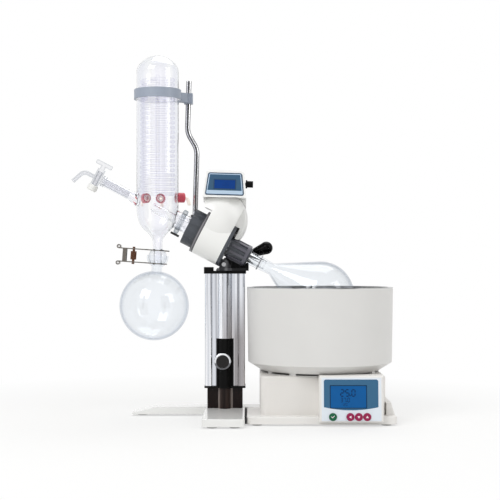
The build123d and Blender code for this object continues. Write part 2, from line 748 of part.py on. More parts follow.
def tilt_lever():
    middle = (LEVER_FRONT + LEVER_BACK) / 2
    hub = lathe_y(LEVER_HUB, LEVER_FRONT, LEVER_BACK, PIVOT_X, PIVOT_Z)
    turn = math.radians(LEVER_ANGLE)
    direction = Vector(math.cos(turn), 0, math.sin(turn))
    frame = Location(Plane(origin=(PIVOT_X, middle, PIVOT_Z), x_dir=(0, 1, 0), z_dir=direction))
    arm = turned_points((0, 0), (LEVER_ROOT, 0), (LEVER_ROOT, LEVER_LENGTH / 2),
                        (LEVER_BALL, LEVER_LENGTH), (0, LEVER_LENGTH))
    ball = Pos(0, 0, LEVER_LENGTH) * Sphere(LEVER_BALL)
    lever = hub + frame * (arm + ball)
    return lever - lathe_y(PIN_RADIUS + RUNNING, LEVER_FRONT, LEVER_BACK, PIVOT_X, PIVOT_Z)


# Head housing


def pod_outline(inset):
    """Front view of the pod, cut on the left and flat on top, inset by a wall."""
    shape = Circle(POD_RADIUS - inset)
    reach = 2 * POD_RADIUS
    shape -= rectangle((-reach, inset - POD_LEFT), (-reach, reach))
    shape -= rectangle((-reach, reach), (POD_TOP - inset, reach))
    corners = [v for v in shape.vertices() if v.Y > POD_TOP - inset - RUNNING]
    return fillet(corners, POD_CORNER)


def pod_body(height, knuckle, inset):
    """Round body with a domed front of a given height, inset by a wall on its front and sides."""
    radius = POD_RADIUS - inset
    front = dome(radius, height - inset, knuckle - inset, POD_DOME_START)
    sides = Polyline((0, POD_DOME_START + height - inset), (0, -POD_BACK), (radius, -POD_BACK),
                     (radius, POD_DOME_START))
    body = turned(front + [sides])
    return body & Pos(0, 0, -POD_BACK) * extrude(pod_outline(inset), amount=3 * POD_RADIUS)


def pod_solid(inset):
    """Pod with a high dome over the drum and a low one beyond the drum's end."""
    reach = 3 * POD_RADIUS
    past_drum = block((-reach, reach), (-reach, reach), (DRUM_END - inset, reach))
    body = POD * pod_body(POD_DOME, POD_KNUCKLE, inset) - DRIVE * past_drum
    body += POD * pod_body(POD_SIDE_DOME, POD_SIDE_KNUCKLE, inset)
    flange_room = block((-reach, DRUM_RADIUS + POD_FLANGE_ROOM + inset), (-reach, reach),
                        (-reach, FLANGE_HALF + inset))
    return body - DRIVE * flange_room


def rear_room(inset):
    """Room for the rear flange, its screws and the turning collar, grown by a wall."""
    low = DRUM_END - inset
    flange_end = REAR_END + SCREW_HEAD_HEIGHT + 2 * GAP + inset
    flange = disc(DRUM_RADIUS + GAP + inset, low, flange_end)
    return DRIVE * (flange + disc(COLLAR_RADIUS + COLLAR_ROOM + inset, low, DRUM_END + 2 * POD_RADIUS))


def drive_housing():
    outer = DRIVE * disc(DRUM_RADIUS, FLANGE_HALF, DRUM_END) + pod_solid(0)
    drum_hollow = DRIVE * disc(DRUM_RADIUS - HOUSING_WALL, FLANGE_HALF, DRUM_END)
    hollow = pod_solid(HOUSING_WALL) - rear_room(HOUSING_WALL)
    plate_low = BEARING_RADIUS + HOUSING_WALL
    plate = block((plate_low, 2 * POD_RADIUS), (-POD_BACK + HOUSING_WALL, 2 * POD_RADIUS),
                  (MOTOR_PLATE_STATION, MOTOR_PLATE_STATION + MOTOR_PLATE))
    plate -= Pos(MOTOR_OFFSET, 0, 0) * disc(MOTOR_BOSS + CLEAR, 0, 2 * MOTOR_PLATE_STATION)
    rib = (DRIVE * plate) & hollow
    shell = outer - drum_hollow - hollow + rib - rear_room(0)
    rows = [(FLANGE_HALF, FRONT_SCREW_TURNS), (DRUM_END - SCREW_GRIP, [-turn for turn in REAR_SCREW_TURNS])]
    for low, turns in rows:
        shell += DRIVE * tube(DRUM_RADIUS - RUNNING, SCREW_CIRCLE - SCREW_BOSS, low, low + SCREW_GRIP)
        for turn in turns:
            hole = disc(SCREW_RADIUS + RUNNING, low, low + SCREW_GRIP)
            shell -= DRIVE * Rot(0, 0, turn) * Pos(SCREW_CIRCLE, 0, 0) * hole
    return shell


def rear_cover():
    plate = Pos(0, 0, -POD_BACK - REAR_COVER) * extrude(pod_outline(0), amount=REAR_COVER)
    far = 3 * POD_RADIUS
    return POD * plate - DRIVE * block((-far, far), (-far, far), (-far, FLANGE_HALF + GAP))


def console_front(inset):
    """Front view of the console, with its skirt when it isn't inset by a wall."""
    low = CONSOLE_BOTTOM_WIDTH / 2 - inset
    high = CONSOLE_TOP_WIDTH / 2 - inset
    top = CONSOLE_HEIGHT - inset
    bottom = inset if inset else -CONSOLE_SKIRT
    foot = max(bottom, 0)
    corners = [(low, foot), (high, top), (-high, top), (-low, foot)]
    if bottom < foot:
        corners = [(-low, -CONSOLE_LEFT_SKIRT), (0, -CONSOLE_LEFT_SKIRT), (0, bottom), (low, bottom)] + corners
    face = make_face(Polyline(*corners, close=True))
    upper = [v for v in face.vertices() if v.Y > top / 2]
    return fillet(upper, CONSOLE_CORNER - inset)


def console_body(inset):
    """Console with a leaning front and a sloped back, inset by a wall."""
    prism = CONSOLE * Pos(0, 0, -2 * POD_BACK) * extrude(console_front(inset), amount=4 * POD_BACK)
    reach = CONSOLE_BOTTOM_WIDTH
    front = CONSOLE_FRONT - 2 * inset
    back = POD_BACK - inset
    top = CONSOLE_HEIGHT - inset
    low = -CONSOLE_SKIRT
    side = along_x([(-front, 0), (CONSOLE_LEAN_BACK - front, CONSOLE_HEIGHT),
                    (back - CONSOLE_BACK_SLOPE, top), (back, CONSOLE_HEIGHT / 2),
                    (back, low), (-POD_DOME_START, low), (-POD_DOME_START, 0)], -reach, reach)
    stand = CONSOLE * Location((0, 0, 0), (-90, 0, 0))
    return prism & (stand * side)


def console_shell():
    pod_room = POD * Pos(0, 0, -2 * POD_BACK) * extrude(pod_outline(-GAP), amount=4 * POD_BACK)
    far = 3 * POD_RADIUS
    flange_room = block((-far, NUT_RADIUS), (-far, far), (-far, FLANGE_HALF + GAP))
    body = console_body(0) - console_body(CONSOLE_WALL) - pod_room - DRIVE * flange_room
    body -= PANEL_FACE * extrude(panel_outline(-CLEAR), amount=-PANEL_THICKNESS)
    body -= PANEL_FACE * extrude(panel_outline(CONSOLE_WALL), amount=-3 * PANEL_THICKNESS)
    return body - CONSOLE * knob_frame() * disc(KNOB_SHAFT + RUNNING, -KNOB_LENGTH, KNOB_LENGTH)


def panel_outline(inset):
    """Front view of the console's panel on the leaning face, inset by a margin."""
    height = math.hypot(CONSOLE_HEIGHT, CONSOLE_LEAN_BACK) - PANEL_MARGIN_HIGH - inset
    low = CONSOLE_BOTTOM_WIDTH / 2 - PANEL_MARGIN_SIDE - inset
    high = CONSOLE_TOP_WIDTH / 2 - PANEL_MARGIN_SIDE - inset
    foot = PANEL_MARGIN_LOW + inset
    face = make_face(Polyline((-low, foot), (low, foot), (high, height), (-high, height), close=True))
    return fillet(face.vertices(), PANEL_CORNER - min(inset, 0))


def lcd_frame():
    return PANEL_FACE * Pos(0, LCD_UP, PANEL_PROUD - LCD_THICKNESS)


def console_panel():
    plate = Pos(0, 0, -PANEL_THICKNESS) * extrude(panel_outline(0), amount=PANEL_THICKNESS + PANEL_PROUD)
    pocket = Box(LCD_WIDTH + 2 * RUNNING, LCD_HEIGHT + 2 * RUNNING, 2 * LCD_THICKNESS, align=LOW)
    return PANEL_FACE * plate - lcd_frame() * pocket


def console_lcd():
    return lcd_frame() * Box(LCD_WIDTH, LCD_HEIGHT, LCD_THICKNESS, align=LOW)


def knob_wall():
    """Half width of the console's outside at the knob's height."""
    share = KNOB_UP / CONSOLE_HEIGHT
    return (CONSOLE_BOTTOM_WIDTH * (1 - share) + CONSOLE_TOP_WIDTH * share) / 2


def knob_frame():
    """Knob axis on the console's right wall, pointing out of it."""
    return Location(Plane(origin=(knob_wall(), KNOB_UP, KNOB_FORWARD), x_dir=(0, 1, 0), z_dir=(1, 0, 0)))


def speed_knob():
    root = 2 * GAP
    body = disc(KNOB_SKIRT, root, root + KNOB_SKIRT_LENGTH) + disc(KNOB_RADIUS, root, KNOB_LENGTH)
    for index in range(KNOB_FLUTES):
        turn = Rot(0, 0, index * 360 / KNOB_FLUTES)
        body -= turn * Pos(KNOB_RADIUS + KNOB_FLUTE_RADIUS / 2, 0, 0) * disc(
            KNOB_FLUTE_RADIUS, root + KNOB_SKIRT_LENGTH, KNOB_LENGTH)
    shaft = disc(KNOB_SHAFT, -KNOB_SHAFT_LENGTH, root)
    return CONSOLE * knob_frame() * (body + shaft)


# Flanges, spindle and drive train


def screw_ring(station, length, turns):
    """Cap screws on a circle about the drive axis, heads towards the negative side."""
    screw = disc(SCREW_RADIUS, 0, length) + disc(SCREW_HEAD, -SCREW_HEAD_HEIGHT, 0)
    return [DRIVE * Rot(0, 0, turn) * Pos(SCREW_CIRCLE, 0, station) * screw for turn in turns]


def rod_line(z):
    """X of the support rod's lower run at a height."""
    return ROD_LOW_X + (z - ROD_LOW_Z) * ROD_LEAN_RISE


def front_flange():
    plate = disc(DRUM_RADIUS, -FLANGE_HALF, FLANGE_HALF)
    plate += disc(FLANGE_BOSS_RADIUS, BOSS_END, 0)
    plate += disc(BEARING_RADIUS + BEARING_SEAT, 0, FLANGE_HALF + BEARING_WIDTH / 2)
    plate -= disc(BEARING_RADIUS + RUNNING, FLANGE_HALF - BEARING_WIDTH / 2, DRUM_LENGTH)
    plate -= disc(SPINDLE_RADIUS + GAP, -FLANGE_HALF, DRUM_LENGTH)
    plate -= disc(BEARING_RADIUS, BOSS_END, BOSS_END + SEAL_LENGTH)
    plate -= disc(SPINDLE_RADIUS, BOSS_END, DRUM_LENGTH)
    for turn in FRONT_SCREW_TURNS:
        place = Rot(0, 0, turn) * Pos(SCREW_CIRCLE, 0, 0)
        plate -= place * disc(SCREW_RADIUS + CLEAR, -FLANGE_HALF, FLANGE_HALF)
        plate -= place * disc(SCREW_HEAD + CLEAR, -FLANGE_HALF, SCREW_HEAD_HEIGHT - FLANGE_HALF)
    body = DRIVE * plate
    middle = ROD_LOW_Z + ROD_SOCKET_LENGTH / 2
    low = (rod_line(ROD_LOW_Z), ROD_Y, ROD_LOW_Z - BASE_EDGE)
    along = Vector(ROD_LEAN_RISE, 0, 1)
    socket = Location(Plane(origin=low, z_dir=along)) * disc(ROD_SOCKET_RADIUS, 0, ROD_SOCKET_LENGTH)
    web_top = (Vector(rod_line(middle), 0, middle) - FLANGE).dot(DRIVE_UP) + ROD_SOCKET_RADIUS
    web_far = (Vector(rod_line(middle), 0, middle) - FLANGE).dot(DRIVE_DIR)
    web = block((web_top - 2 * ROD_SOCKET_RADIUS, web_top), (-ROD_Y - ROD_SOCKET_RADIUS / 2, -NUT_RADIUS - 1),
                (web_far, FLANGE_HALF))
    ear = block((web_top - 2 * ROD_SOCKET_RADIUS, web_top), (-ROD_Y - ROD_SOCKET_RADIUS / 2, -DRUM_RADIUS / 2),
                (-FLANGE_HALF, FLANGE_HALF))
    ear -= disc(SPINDLE_RADIUS + BEARING_WIDTH, -FLANGE_HALF, FLANGE_HALF)
    nut_room = disc(NUT_RADIUS + 1, -DRUM_RADIUS, NUT_END + GAP)
    body = body + DRIVE * (web + ear) + (socket - DRIVE * nut_room)
    rod_hole = Location(Plane(origin=(low[0], ROD_Y, ROD_LOW_Z), z_dir=along))
    return body - rod_hole * disc(ROD_RADIUS + RUNNING, 0, 2 * ROD_SOCKET_LENGTH)


def rear_flange():
    plate = disc(DRUM_RADIUS, DRUM_END, REAR_END)
    plate += disc(BEARING_RADIUS + BEARING_SEAT, DRUM_END - BEARING_WIDTH / 2, DRUM_END)
    plate -= disc(BEARING_RADIUS + RUNNING, DRUM_END - BEARING_WIDTH / 2, DRUM_END + BEARING_WIDTH / 2)
    plate -= disc(SPINDLE_RADIUS + GAP, DRUM_END - BEARING_WIDTH, REAR_END)
    for turn in REAR_SCREW_TURNS:
        plate -= Rot(0, 0, turn) * Pos(SCREW_CIRCLE, 0, 0) * disc(SCREW_RADIUS + CLEAR, DRUM_END, REAR_END)
    half = TONGUE_THICKNESS / 2
    web = block((PIVOT_BELOW - TONGUE_RADIUS + 1, PIVOT_BELOW + TONGUE_RADIUS), (-TONGUE_Y - half, half - TONGUE_Y),
                (REAR_END, PIVOT_STATION))
    tongue = DRIVE * (plate + web)
    tongue += lathe_y(TONGUE_RADIUS, TONGUE_Y - half, TONGUE_Y + half, PIVOT_X, PIVOT_Z)
    return tongue - lathe_y(PIN_RADIUS + RUNNING, -DRUM_RADIUS, DRUM_RADIUS, PIVOT_X, PIVOT_Z)


def head_screws():
    sunk = SCREW_HEAD_HEIGHT - FLANGE_HALF
    front = screw_ring(sunk, FLANGE_HALF + SCREW_GRIP - sunk, FRONT_SCREW_TURNS)
    back = screw_ring(-REAR_END, REAR_FLANGE_THICKNESS + SCREW_GRIP, REAR_SCREW_TURNS)
    turn_round = DRIVE * Rot(180, 0, 0) * DRIVE.inverse()
    return Compound(front + [turn_round * screw for screw in back])


def spindle_bearings():
    ring = tube(BEARING_RADIUS, SPINDLE_RADIUS + RUNNING, -BEARING_WIDTH / 2, BEARING_WIDTH / 2)
    return Compound([DRIVE * Pos(0, 0, station) * ring for station in (FLANGE_HALF, DRUM_END)])


def spindle():
    shaft = tube(SPINDLE_RADIUS, SPINDLE_BORE, -FLANGE_HALF + GAP, COLLAR_START + SPINDLE_TAIL)
    return DRIVE * (shaft + Pos(0, 0, DRIVEN_STATION) * pulley(DRIVEN_PULLEY, SPINDLE_RADIUS))


def pulley(radius, bore):
    """Belt pulley about Z with a rim on each side."""
    body = tube(radius, bore, -PULLEY_WIDTH / 2, PULLEY_WIDTH / 2)
    for low in (-PULLEY_WIDTH / 2, PULLEY_WIDTH / 2 - PULLEY_RIM_WIDTH):
        body += tube(radius + PULLEY_RIM, bore, low, low + PULLEY_RIM_WIDTH)
    return body


def motor_rotor():
    low = DRIVEN_STATION - PULLEY_WIDTH / 2
    wheel = Pos(0, 0, DRIVEN_STATION) * pulley(MOTOR_PULLEY, MOTOR_SHAFT)
    shaft = disc(MOTOR_SHAFT, low, MOTOR_PLATE_STATION + MOTOR_LENGTH / 2)
    return DRIVE * Pos(MOTOR_OFFSET, 0, 0) * (wheel + shaft)


def drive_belt():
    inner_gap = BELT_CLEAR
    outer_gap = BELT_CLEAR + BELT_THICKNESS

    def loop(extra):
        circles = Circle(DRIVEN_PULLEY + extra) + Pos(MOTOR_OFFSET, 0) * Circle(MOTOR_PULLEY + extra)
        return make_hull(circles.edges())

    width = PULLEY_WIDTH - 2 * PULLEY_RIM_WIDTH - GAP
    band = extrude(loop(outer_gap) - loop(inner_gap), amount=width)
    return DRIVE * Pos(0, 0, DRIVEN_STATION - width / 2) * band


def drive_motor():
    low = MOTOR_PLATE_STATION + MOTOR_PLATE
    can = disc(MOTOR_RADIUS, low, low + MOTOR_LENGTH) + disc(MOTOR_BOSS, low - MOTOR_BOSS_LENGTH, low)
    can -= disc(MOTOR_SHAFT + RUNNING, low - MOTOR_PLATE, MOTOR_PLATE_STATION + MOTOR_LENGTH / 2 + GAP)
    return DRIVE * Pos(MOTOR_OFFSET, 0, 0) * can


def flask_collar():
    body = disc(COLLAR_RADIUS, COLLAR_START, COLLAR_START + COLLAR_STEP)
    body += disc(COLLAR_STEP, COLLAR_START + COLLAR_STEP, COLLAR_END)
    body -= disc(SPINDLE_RADIUS + RUNNING / 5, COLLAR_START, COLLAR_START + SPINDLE_TAIL)
    return DRIVE * (body - disc(DUCT_BODY + RUNNING, COLLAR_START, COLLAR_END))


def union_nut():
    bore = FLANGE_BOSS_RADIUS + RUNNING
    body = disc(NUT_RADIUS, NUT_START, NUT_END) - disc(bore, NUT_START + NUT_LIP, NUT_END)
    body -= disc(BRANCH_RADIUS + 2 * GAP, NUT_START, NUT_END)
    for index in range(NUT_GRIPS):
        turn = Rot(0, 0, index * 360 / NUT_GRIPS)
        far = NUT_RADIUS + NUT_RADIUS / 2 - NUT_GRIP_DEPTH
        body -= turn * Pos(far, 0, 0) * disc(NUT_RADIUS / 2, NUT_START, NUT_END)
    return DRIVE * body


def seal_ring():
    low = BOSS_END
    return DRIVE * tube(BEARING_RADIUS - RUNNING, DUCT_RADIUS + RUNNING, low, low + SEAL_LENGTH)


def vapour_duct():
    shoulder = -FLANGE_HALF + GAP
    end = JOINT_START + JOINT_LENGTH
    tip = JOINT_RADIUS - JOINT_TAPER
    bore = DUCT_RADIUS - DUCT_WALL
    return DRIVE * turned_points(
        (bore, DUCT_INNER_END), (DUCT_RADIUS, DUCT_INNER_END), (DUCT_RADIUS, shoulder),
        (DUCT_BODY, shoulder), (DUCT_BODY, JOINT_START - 1), (JOINT_RADIUS, JOINT_START - 1),
        (JOINT_RADIUS, JOINT_START), (tip, end), (bore, end))


def flask_outline(wall):
    """Half section of the pear-shaped flask along the drive axis, thinned by a wall."""
    cone = math.radians(FLASK_CONE_ANGLE)
    bulb = FLASK_BULB - wall
    touch = (bulb * math.cos(cone), FLASK_CENTRE - bulb * math.sin(cone))
    throat = FLASK_THROAT - wall
    throat_end = touch[1] - (touch[0] - throat) / math.tan(cone)
    far = (0, FLASK_CENTRE + bulb)
    return throat, throat_end, touch, ThreePointArc(touch, (bulb, FLASK_CENTRE), far), far


def evaporating_flask():
    throat, throat_end, touch, arc, far = flask_outline(0)
    bead = JOINT_START + 2
    outer = Polyline(far, (0, JOINT_START), (FLASK_NECK, JOINT_START), (FLASK_NECK, bead + CLIP_WIRE * 4),
                     (throat, throat_end - JOINT_TAPER), (throat, throat_end), touch)
    body = turned([outer, arc])
    thin, thin_end, thin_touch, thin_arc, thin_far = flask_outline(GLASS_WALL)
    end = JOINT_START + JOINT_LENGTH
    wide = JOINT_RADIUS + RUNNING
    tip = wide - JOINT_TAPER
    inner = Polyline(thin_far, (0, JOINT_START), (wide, JOINT_START), (tip, end), (thin, end),
                     (thin, thin_end), thin_touch)
    return DRIVE * (body - turned([inner, thin_arc]))


def joint_clip():
    inner = FLASK_NECK + RUNNING
    outer = inner + 2 * CLIP_WIRE
    clip = tube(outer, inner, CLIP_STATION - CLIP_WIRE, CLIP_STATION + CLIP_WIRE)
    for turn in (90, 270):
        arm = Pos(inner + CLIP_WIRE, 0, 0) * disc(CLIP_ARM, COLLAR_END, CLIP_STATION)
        clip += Rot(0, 0, turn) * arm
    return DRIVE * clip


# Condenser and its fittings


def funnel(inset):
    """Curve of the condenser's lower end, from its side down to the neck."""
    start = (CONDENSER_RADIUS - inset, CONDENSER_FOOT)
    middle = (FUNNEL_MID_RADIUS - inset, FUNNEL_MID)
    return Spline(start, middle, (CONDENSER_NECK - inset, FUNNEL_END), tangents=((0, -1), (0, -1)))


def condenser_vessel(inset, low):
    """Condenser body with its dome and funnel, thinned by a wall, down to a level on the neck."""
    radius = CONDENSER_RADIUS - inset
    shoulder = CONDENSER_APEX - CONDENSER_DOME
    top = dome(radius, CONDENSER_DOME - inset, CONDENSER_KNUCKLE - inset, shoulder)
    neck = CONDENSER_NECK - inset
    rest = Polyline((neck, FUNNEL_END), (neck, low), (0, low), (0, CONDENSER_APEX - inset))
    side = Line((radius, shoulder), (radius, CONDENSER_FOOT))
    return CONDENSER * turned(top + [side, funnel(inset), rest])


def port_frame(angle):
    """Frame of one side port, pointing out from the condenser's axis."""
    turn = math.radians(angle)
    outward = (math.sin(turn), math.cos(turn), 0)
    return Location(Plane(origin=(CONDENSER_X, 0, PORT_Z), x_dir=(0, 0, -1), z_dir=outward))


def condenser_jacket():
    vessel = condenser_vessel(0, BALL_Z)
    ball = CONDENSER * Pos(0, 0, BALL_Z) * Sphere(BALL_RADIUS)
    mouth_low = BALL_Z - math.sqrt(BALL_RADIUS ** 2 - BALL_MOUTH ** 2)
    below = CONDENSER * disc(2 * BALL_RADIUS, 0, mouth_low)
    flare_end = GLASS_FLANGE_START - BRANCH_WALL
    branch = DRIVE * turned_points(
        (0, AXIS_STATION), (BRANCH_RADIUS, AXIS_STATION), (BRANCH_RADIUS, flare_end - BRANCH_FLARE),
        (BRANCH_RADIUS, GLASS_FLANGE_START), (GLASS_FLANGE, GLASS_FLANGE_START),
        (GLASS_FLANGE, GLASS_FLANGE_START + GLASS_FLANGE_THICKNESS),
        (0, GLASS_FLANGE_START + GLASS_FLANGE_THICKNESS))
    wide = SOCKET_START + SOCKET_FLARE_LENGTH
    socket = DRIVE * turned_points(
        (0, SOCKET_MOUTH), (SOCKET_RADIUS + SOCKET_BEAD, SOCKET_MOUTH),
        (SOCKET_RADIUS + SOCKET_BEAD, SOCKET_MOUTH + 2 * SOCKET_BEAD),
        (SOCKET_RADIUS, SOCKET_MOUTH + 3 * SOCKET_BEAD), (SOCKET_RADIUS, SOCKET_START),
        (SOCKET_FLARE, wide), (SOCKET_FLARE, AXIS_STATION), (0, AXIS_STATION))
    outside = vessel + ball - below + branch + socket
    for angle in PORT_ANGLES:
        outside += port_frame(angle) * disc(PORT_RADIUS, CONDENSER_RADIUS - CONDENSER_WALL, PORT_END)
    hollow = condenser_vessel(CONDENSER_WALL, 0)
    hollow += DRIVE * disc(BRANCH_RADIUS - BRANCH_WALL, AXIS_STATION, 0)
    hollow += DRIVE * disc(SOCKET_FLARE - BRANCH_WALL, wide, AXIS_STATION)
    hollow += DRIVE * disc(SOCKET_BORE, SOCKET_MOUTH, SOCKET_START)
    hollow += DRIVE * disc(SOCKET_BORE - GLASS_WALL, SOCKET_START, wide)
    for angle in PORT_ANGLES:
        hollow += port_frame(angle) * disc(PORT_BORE, 0, PORT_END)
    return outside - hollow


def condenser_coil():
    height = COIL_PITCH * COIL_TURNS
    path = Helix(pitch=COIL_PITCH, height=height, radius=COIL_RADIUS)
    start = path @ 0
    top = path @ 1
    coil = sweep(Plane(origin=start, z_dir=path % 0) * Circle(COIL_TUBE), path)
    reach = CONDENSER_RADIUS - CONDENSER_WALL - CLEAR
    inward = Vector(-top.X, -top.Y, 0)
    core = disc(COIL_CORE, -2 * COIL_CORE, height + 2 * COIL_CORE)
    coil += Pos(*top) * Sphere(COIL_KNOB) + core + coil_link(top, inward, COIL_RADIUS)
    coil += Pos(*start) * Sphere(COIL_KNOB) + coil_link(start, (1, 0, 0), reach - COIL_RADIUS)
    coil = Rot(0, 0, 90 - PORT_ANGLES[0]) * coil
    turn = math.radians(PORT_ANGLES[1])
    coil += coil_link((0, 0, 0), (math.sin(turn), math.cos(turn), 0), reach)
    return CONDENSER * Pos(0, 0, PORT_Z) * coil


def coil_link(origin, direction, length):
    """Straight run of the coil's tube."""
    return extrude(Plane(origin=origin, z_dir=direction) * Circle(COIL_LINK), amount=length)


def port_caps():
    low = PORT_END - PORT_LENGTH + CLEAR
    flange_end = PORT_END + NOZZLE_FLANGE_LENGTH + 2 * CAP_CLEAR
    cap = disc(CAP_RADIUS, low, low + CAP_LENGTH)
    cap -= disc(PORT_RADIUS + CAP_CLEAR, low, flange_end)
    cap -= disc(NOZZLE_RADIUS + CAP_CLEAR, low, low + CAP_LENGTH)
    for index in range(CAP_RIDGES):
        turn = Rot(0, 0, index * 360 / CAP_RIDGES)
        cap -= turn * Pos(CAP_RADIUS, 0, 0) * disc(CAP_RIDGE_RADIUS, low, low + CAP_LENGTH)
    cap -= CONDENSER_ROOM
    return Compound([port_frame(angle) * cap for angle in PORT_ANGLES])


CONDENSER_ROOM = Location(Plane(origin=(0, 0, 0), x_dir=(0, 1, 0), z_dir=(1, 0, 0))) * disc(
    CONDENSER_RADIUS + CLEAR, -CONDENSER_RADIUS, CONDENSER_RADIUS)


def hose_nozzles():
    root = PORT_END + CAP_CLEAR
    cap_end = PORT_END - PORT_LENGTH + CLEAR + CAP_LENGTH
    corner = cap_end + NOZZLE_BEND
    turn = math.radians(NOZZLE_TURN)
    end = (NOZZLE_DROP * math.sin(turn), 0, corner + NOZZLE_DROP * math.cos(turn))
    path = [(0, 0, root), (0, 0, corner), end]
    nozzle = bent_tube(path, NOZZLE_BEND, NOZZLE_RADIUS - NOZZLE_BARB / 2, NOZZLE_BORE)
    nozzle += tube(NOZZLE_FLANGE, NOZZLE_BORE, root, root + NOZZLE_FLANGE_LENGTH)
    outward = Vector(math.sin(turn), 0, math.cos(turn))
    for step in (0, 1, 2):
        start = Vector(*end) - outward * (2 + 3 * step)
        barb = turned_points((NOZZLE_BORE, 0), (NOZZLE_RADIUS + NOZZLE_BARB / 2, 0), (NOZZLE_RADIUS - NOZZLE_BARB, 2),
                             (NOZZLE_BORE, 2))
        nozzle += Location(Plane(origin=start, z_dir=outward)) * barb
    return Compound([port_frame(angle) * nozzle for angle in PORT_ANGLES])


def rod_knees():
    """Corners of the support rod from its socket to its top."""
    knee_x = rod_line(ROD_KNEE_Z)
    step_x = knee_x + ROD_STEP_X
    step_z = ROD_KNEE_Z + ROD_STEP_Z
    top_x = step_x + (ROD_TOP_Z - step_z) * ROD_LEAN_RISE
    return [(ROD_LOW_X, ROD_Y, ROD_LOW_Z), (knee_x, ROD_Y, ROD_KNEE_Z), (step_x, ROD_Y, step_z),
            (top_x, ROD_Y, ROD_TOP_Z)]


def support_rod():
    rod = bent_tube(rod_knees(), ROD_BEND, ROD_RADIUS, 0)
    return fillet(rod.edges().group_by(Axis.Z)[-1], ROD_RADIUS / 3)


def rod_upper_x(z):
    """X of the support rod's upper run at a height."""
    return rod_knees()[2][0] + (z - rod_knees()[2][2]) * ROD_LEAN_RISE


def clamp_screw_places():
    """Centres of the two clamp screws beside the ring, on its arm."""
    rod = Vector(rod_upper_x(RING_Z), ROD_Y, 0) - Vector(CONDENSER_X, 0, 0)
    outward = rod.normalized()
    first = CONDENSER_RADIUS + RING_WALL + CLAMP_SCREW_HEAD
    return outward, [outward * first]


def condenser_clamp():
    low = RING_Z - RING_HEIGHT / 2
    high = RING_Z + RING_HEIGHT / 2
    ring = CONDENSER * disc(CONDENSER_RADIUS + RING_WALL, low, high)
    rod_x = rod_upper_x(RING_Z)
    reach = math.hypot(rod_x - CONDENSER_X, ROD_Y)
    angle = math.degrees(math.atan2(ROD_Y, rod_x - CONDENSER_X))
    arm = block((0, reach), (-RING_ARM / 2, RING_ARM / 2), (low, high))
    arm = Location((CONDENSER_X, 0, 0), (0, 0, angle)) * arm
    eye = Pos(rod_x, ROD_Y, 0) * rounded(
        block((-RING_BLOCK / 2, RING_BLOCK / 2), (-RING_BLOCK / 2, RING_BLOCK / 2), (low - BASE_EDGE, high)),
        Axis.Z, BASE_EDGE)
    body = ring + arm + eye - CONDENSER * disc(CONDENSER_RADIUS + CLEAR, low, high)
    split = block((0, reach), (-RING_SPLIT / 2, RING_SPLIT / 2), (low - RING_HEIGHT, high + RING_HEIGHT))
    split &= disc(reach - RING_BLOCK / 2, low - RING_HEIGHT, high + RING_HEIGHT)
    body -= Location((CONDENSER_X, 0, 0), (0, 0, angle)) * split
    body -= Location((CONDENSER_X, 0, 0), (0, 0, angle)) * clamp_screw_hole()
    along = Vector(ROD_LEAN_RISE, 0, 1)
    hole = Location(Plane(origin=(rod_x, ROD_Y, RING_Z), z_dir=along))
    return body - hole * disc(ROD_RADIUS + RUNNING, -2 * RING_HEIGHT, 2 * RING_HEIGHT)


def clamp_screw_hole():
    """Cross hole of the clamp screw, in the frame of the arm."""
    across = Location(Plane(origin=(clamp_screw_reach(), 0, RING_Z), x_dir=(1, 0, 0), z_dir=(0, 1, 0)))
    return across * disc(CLAMP_SCREW_RADIUS + CLEAR, -RING_ARM, RING_ARM)


def clamp_screw_reach():
    """Distance of the clamp screw from the condenser's axis."""
    return CONDENSER_RADIUS + RING_WALL + CLAMP_SCREW_HEAD


def clamp_screw():
    rod_x = rod_upper_x(RING_Z)
    angle = math.degrees(math.atan2(ROD_Y, rod_x - CONDENSER_X))
    across = Location(Plane(origin=(clamp_screw_reach(), 0, RING_Z), x_dir=(1, 0, 0), z_dir=(0, 1, 0)))
    half = RING_ARM / 2
    screw = disc(CLAMP_SCREW_RADIUS, -half - CLAMP_SCREW_HEAD, half + CLAMP_SCREW_HEAD)
    screw += disc(CLAMP_SCREW_HEAD, -half - CLAMP_SCREW_HEAD, -half)
    screw += disc(CLAMP_SCREW_HEAD, half, half + CLAMP_SCREW_HEAD / 2)
    return Location((CONDENSER_X, 0, 0), (0, 0, angle)) * across * screw


# Feed stopcock, modelled with Z along the plug and the drive axis along X


def stopcock_body():
    barrel = DRIVE * Pos(0, 0, STOPCOCK_STATION) * (Rot(0, 90, 0) * disc(BARREL_RADIUS, -BARREL_HALF, BARREL_HALF))
    joint = disc(SOCKET_BORE - RUNNING, STOPCOCK_STATION, SOCKET_START - GAP)
    joint += disc(SOCKET_RADIUS + SOCKET_BEAD, SOCKET_MOUTH - 2 * SOCKET_BEAD, SOCKET_MOUTH)
    centre = FLANGE + DRIVE_DIR * STOPCOCK_STATION
    bend_run = (FEED_BEND_X - centre.X) / -DRIVE_DIR.X
    bend = centre - DRIVE_DIR * bend_run
    feed_path = [(centre.X, 0, centre.Z), (bend.X, 0, bend.Z), (FEED_END_X, 0, FEED_END_Z)]
    feed = bent_tube(feed_path, FEED_BEND, FEED_RADIUS, 0)
    feed_bore = bent_tube(feed_path, FEED_BEND, FEED_BORE, 0)
    plug = Rot(0, 90, 0) * disc(KEY_RADIUS + RUNNING, -2 * KEY_HIGH, 2 * KEY_HIGH)
    body = barrel + DRIVE * joint + feed
    body -= DRIVE * disc(FEED_BORE, STOPCOCK_STATION, SOCKET_START)
    return body - feed_bore - DRIVE * Pos(0, 0, STOPCOCK_STATION) * plug


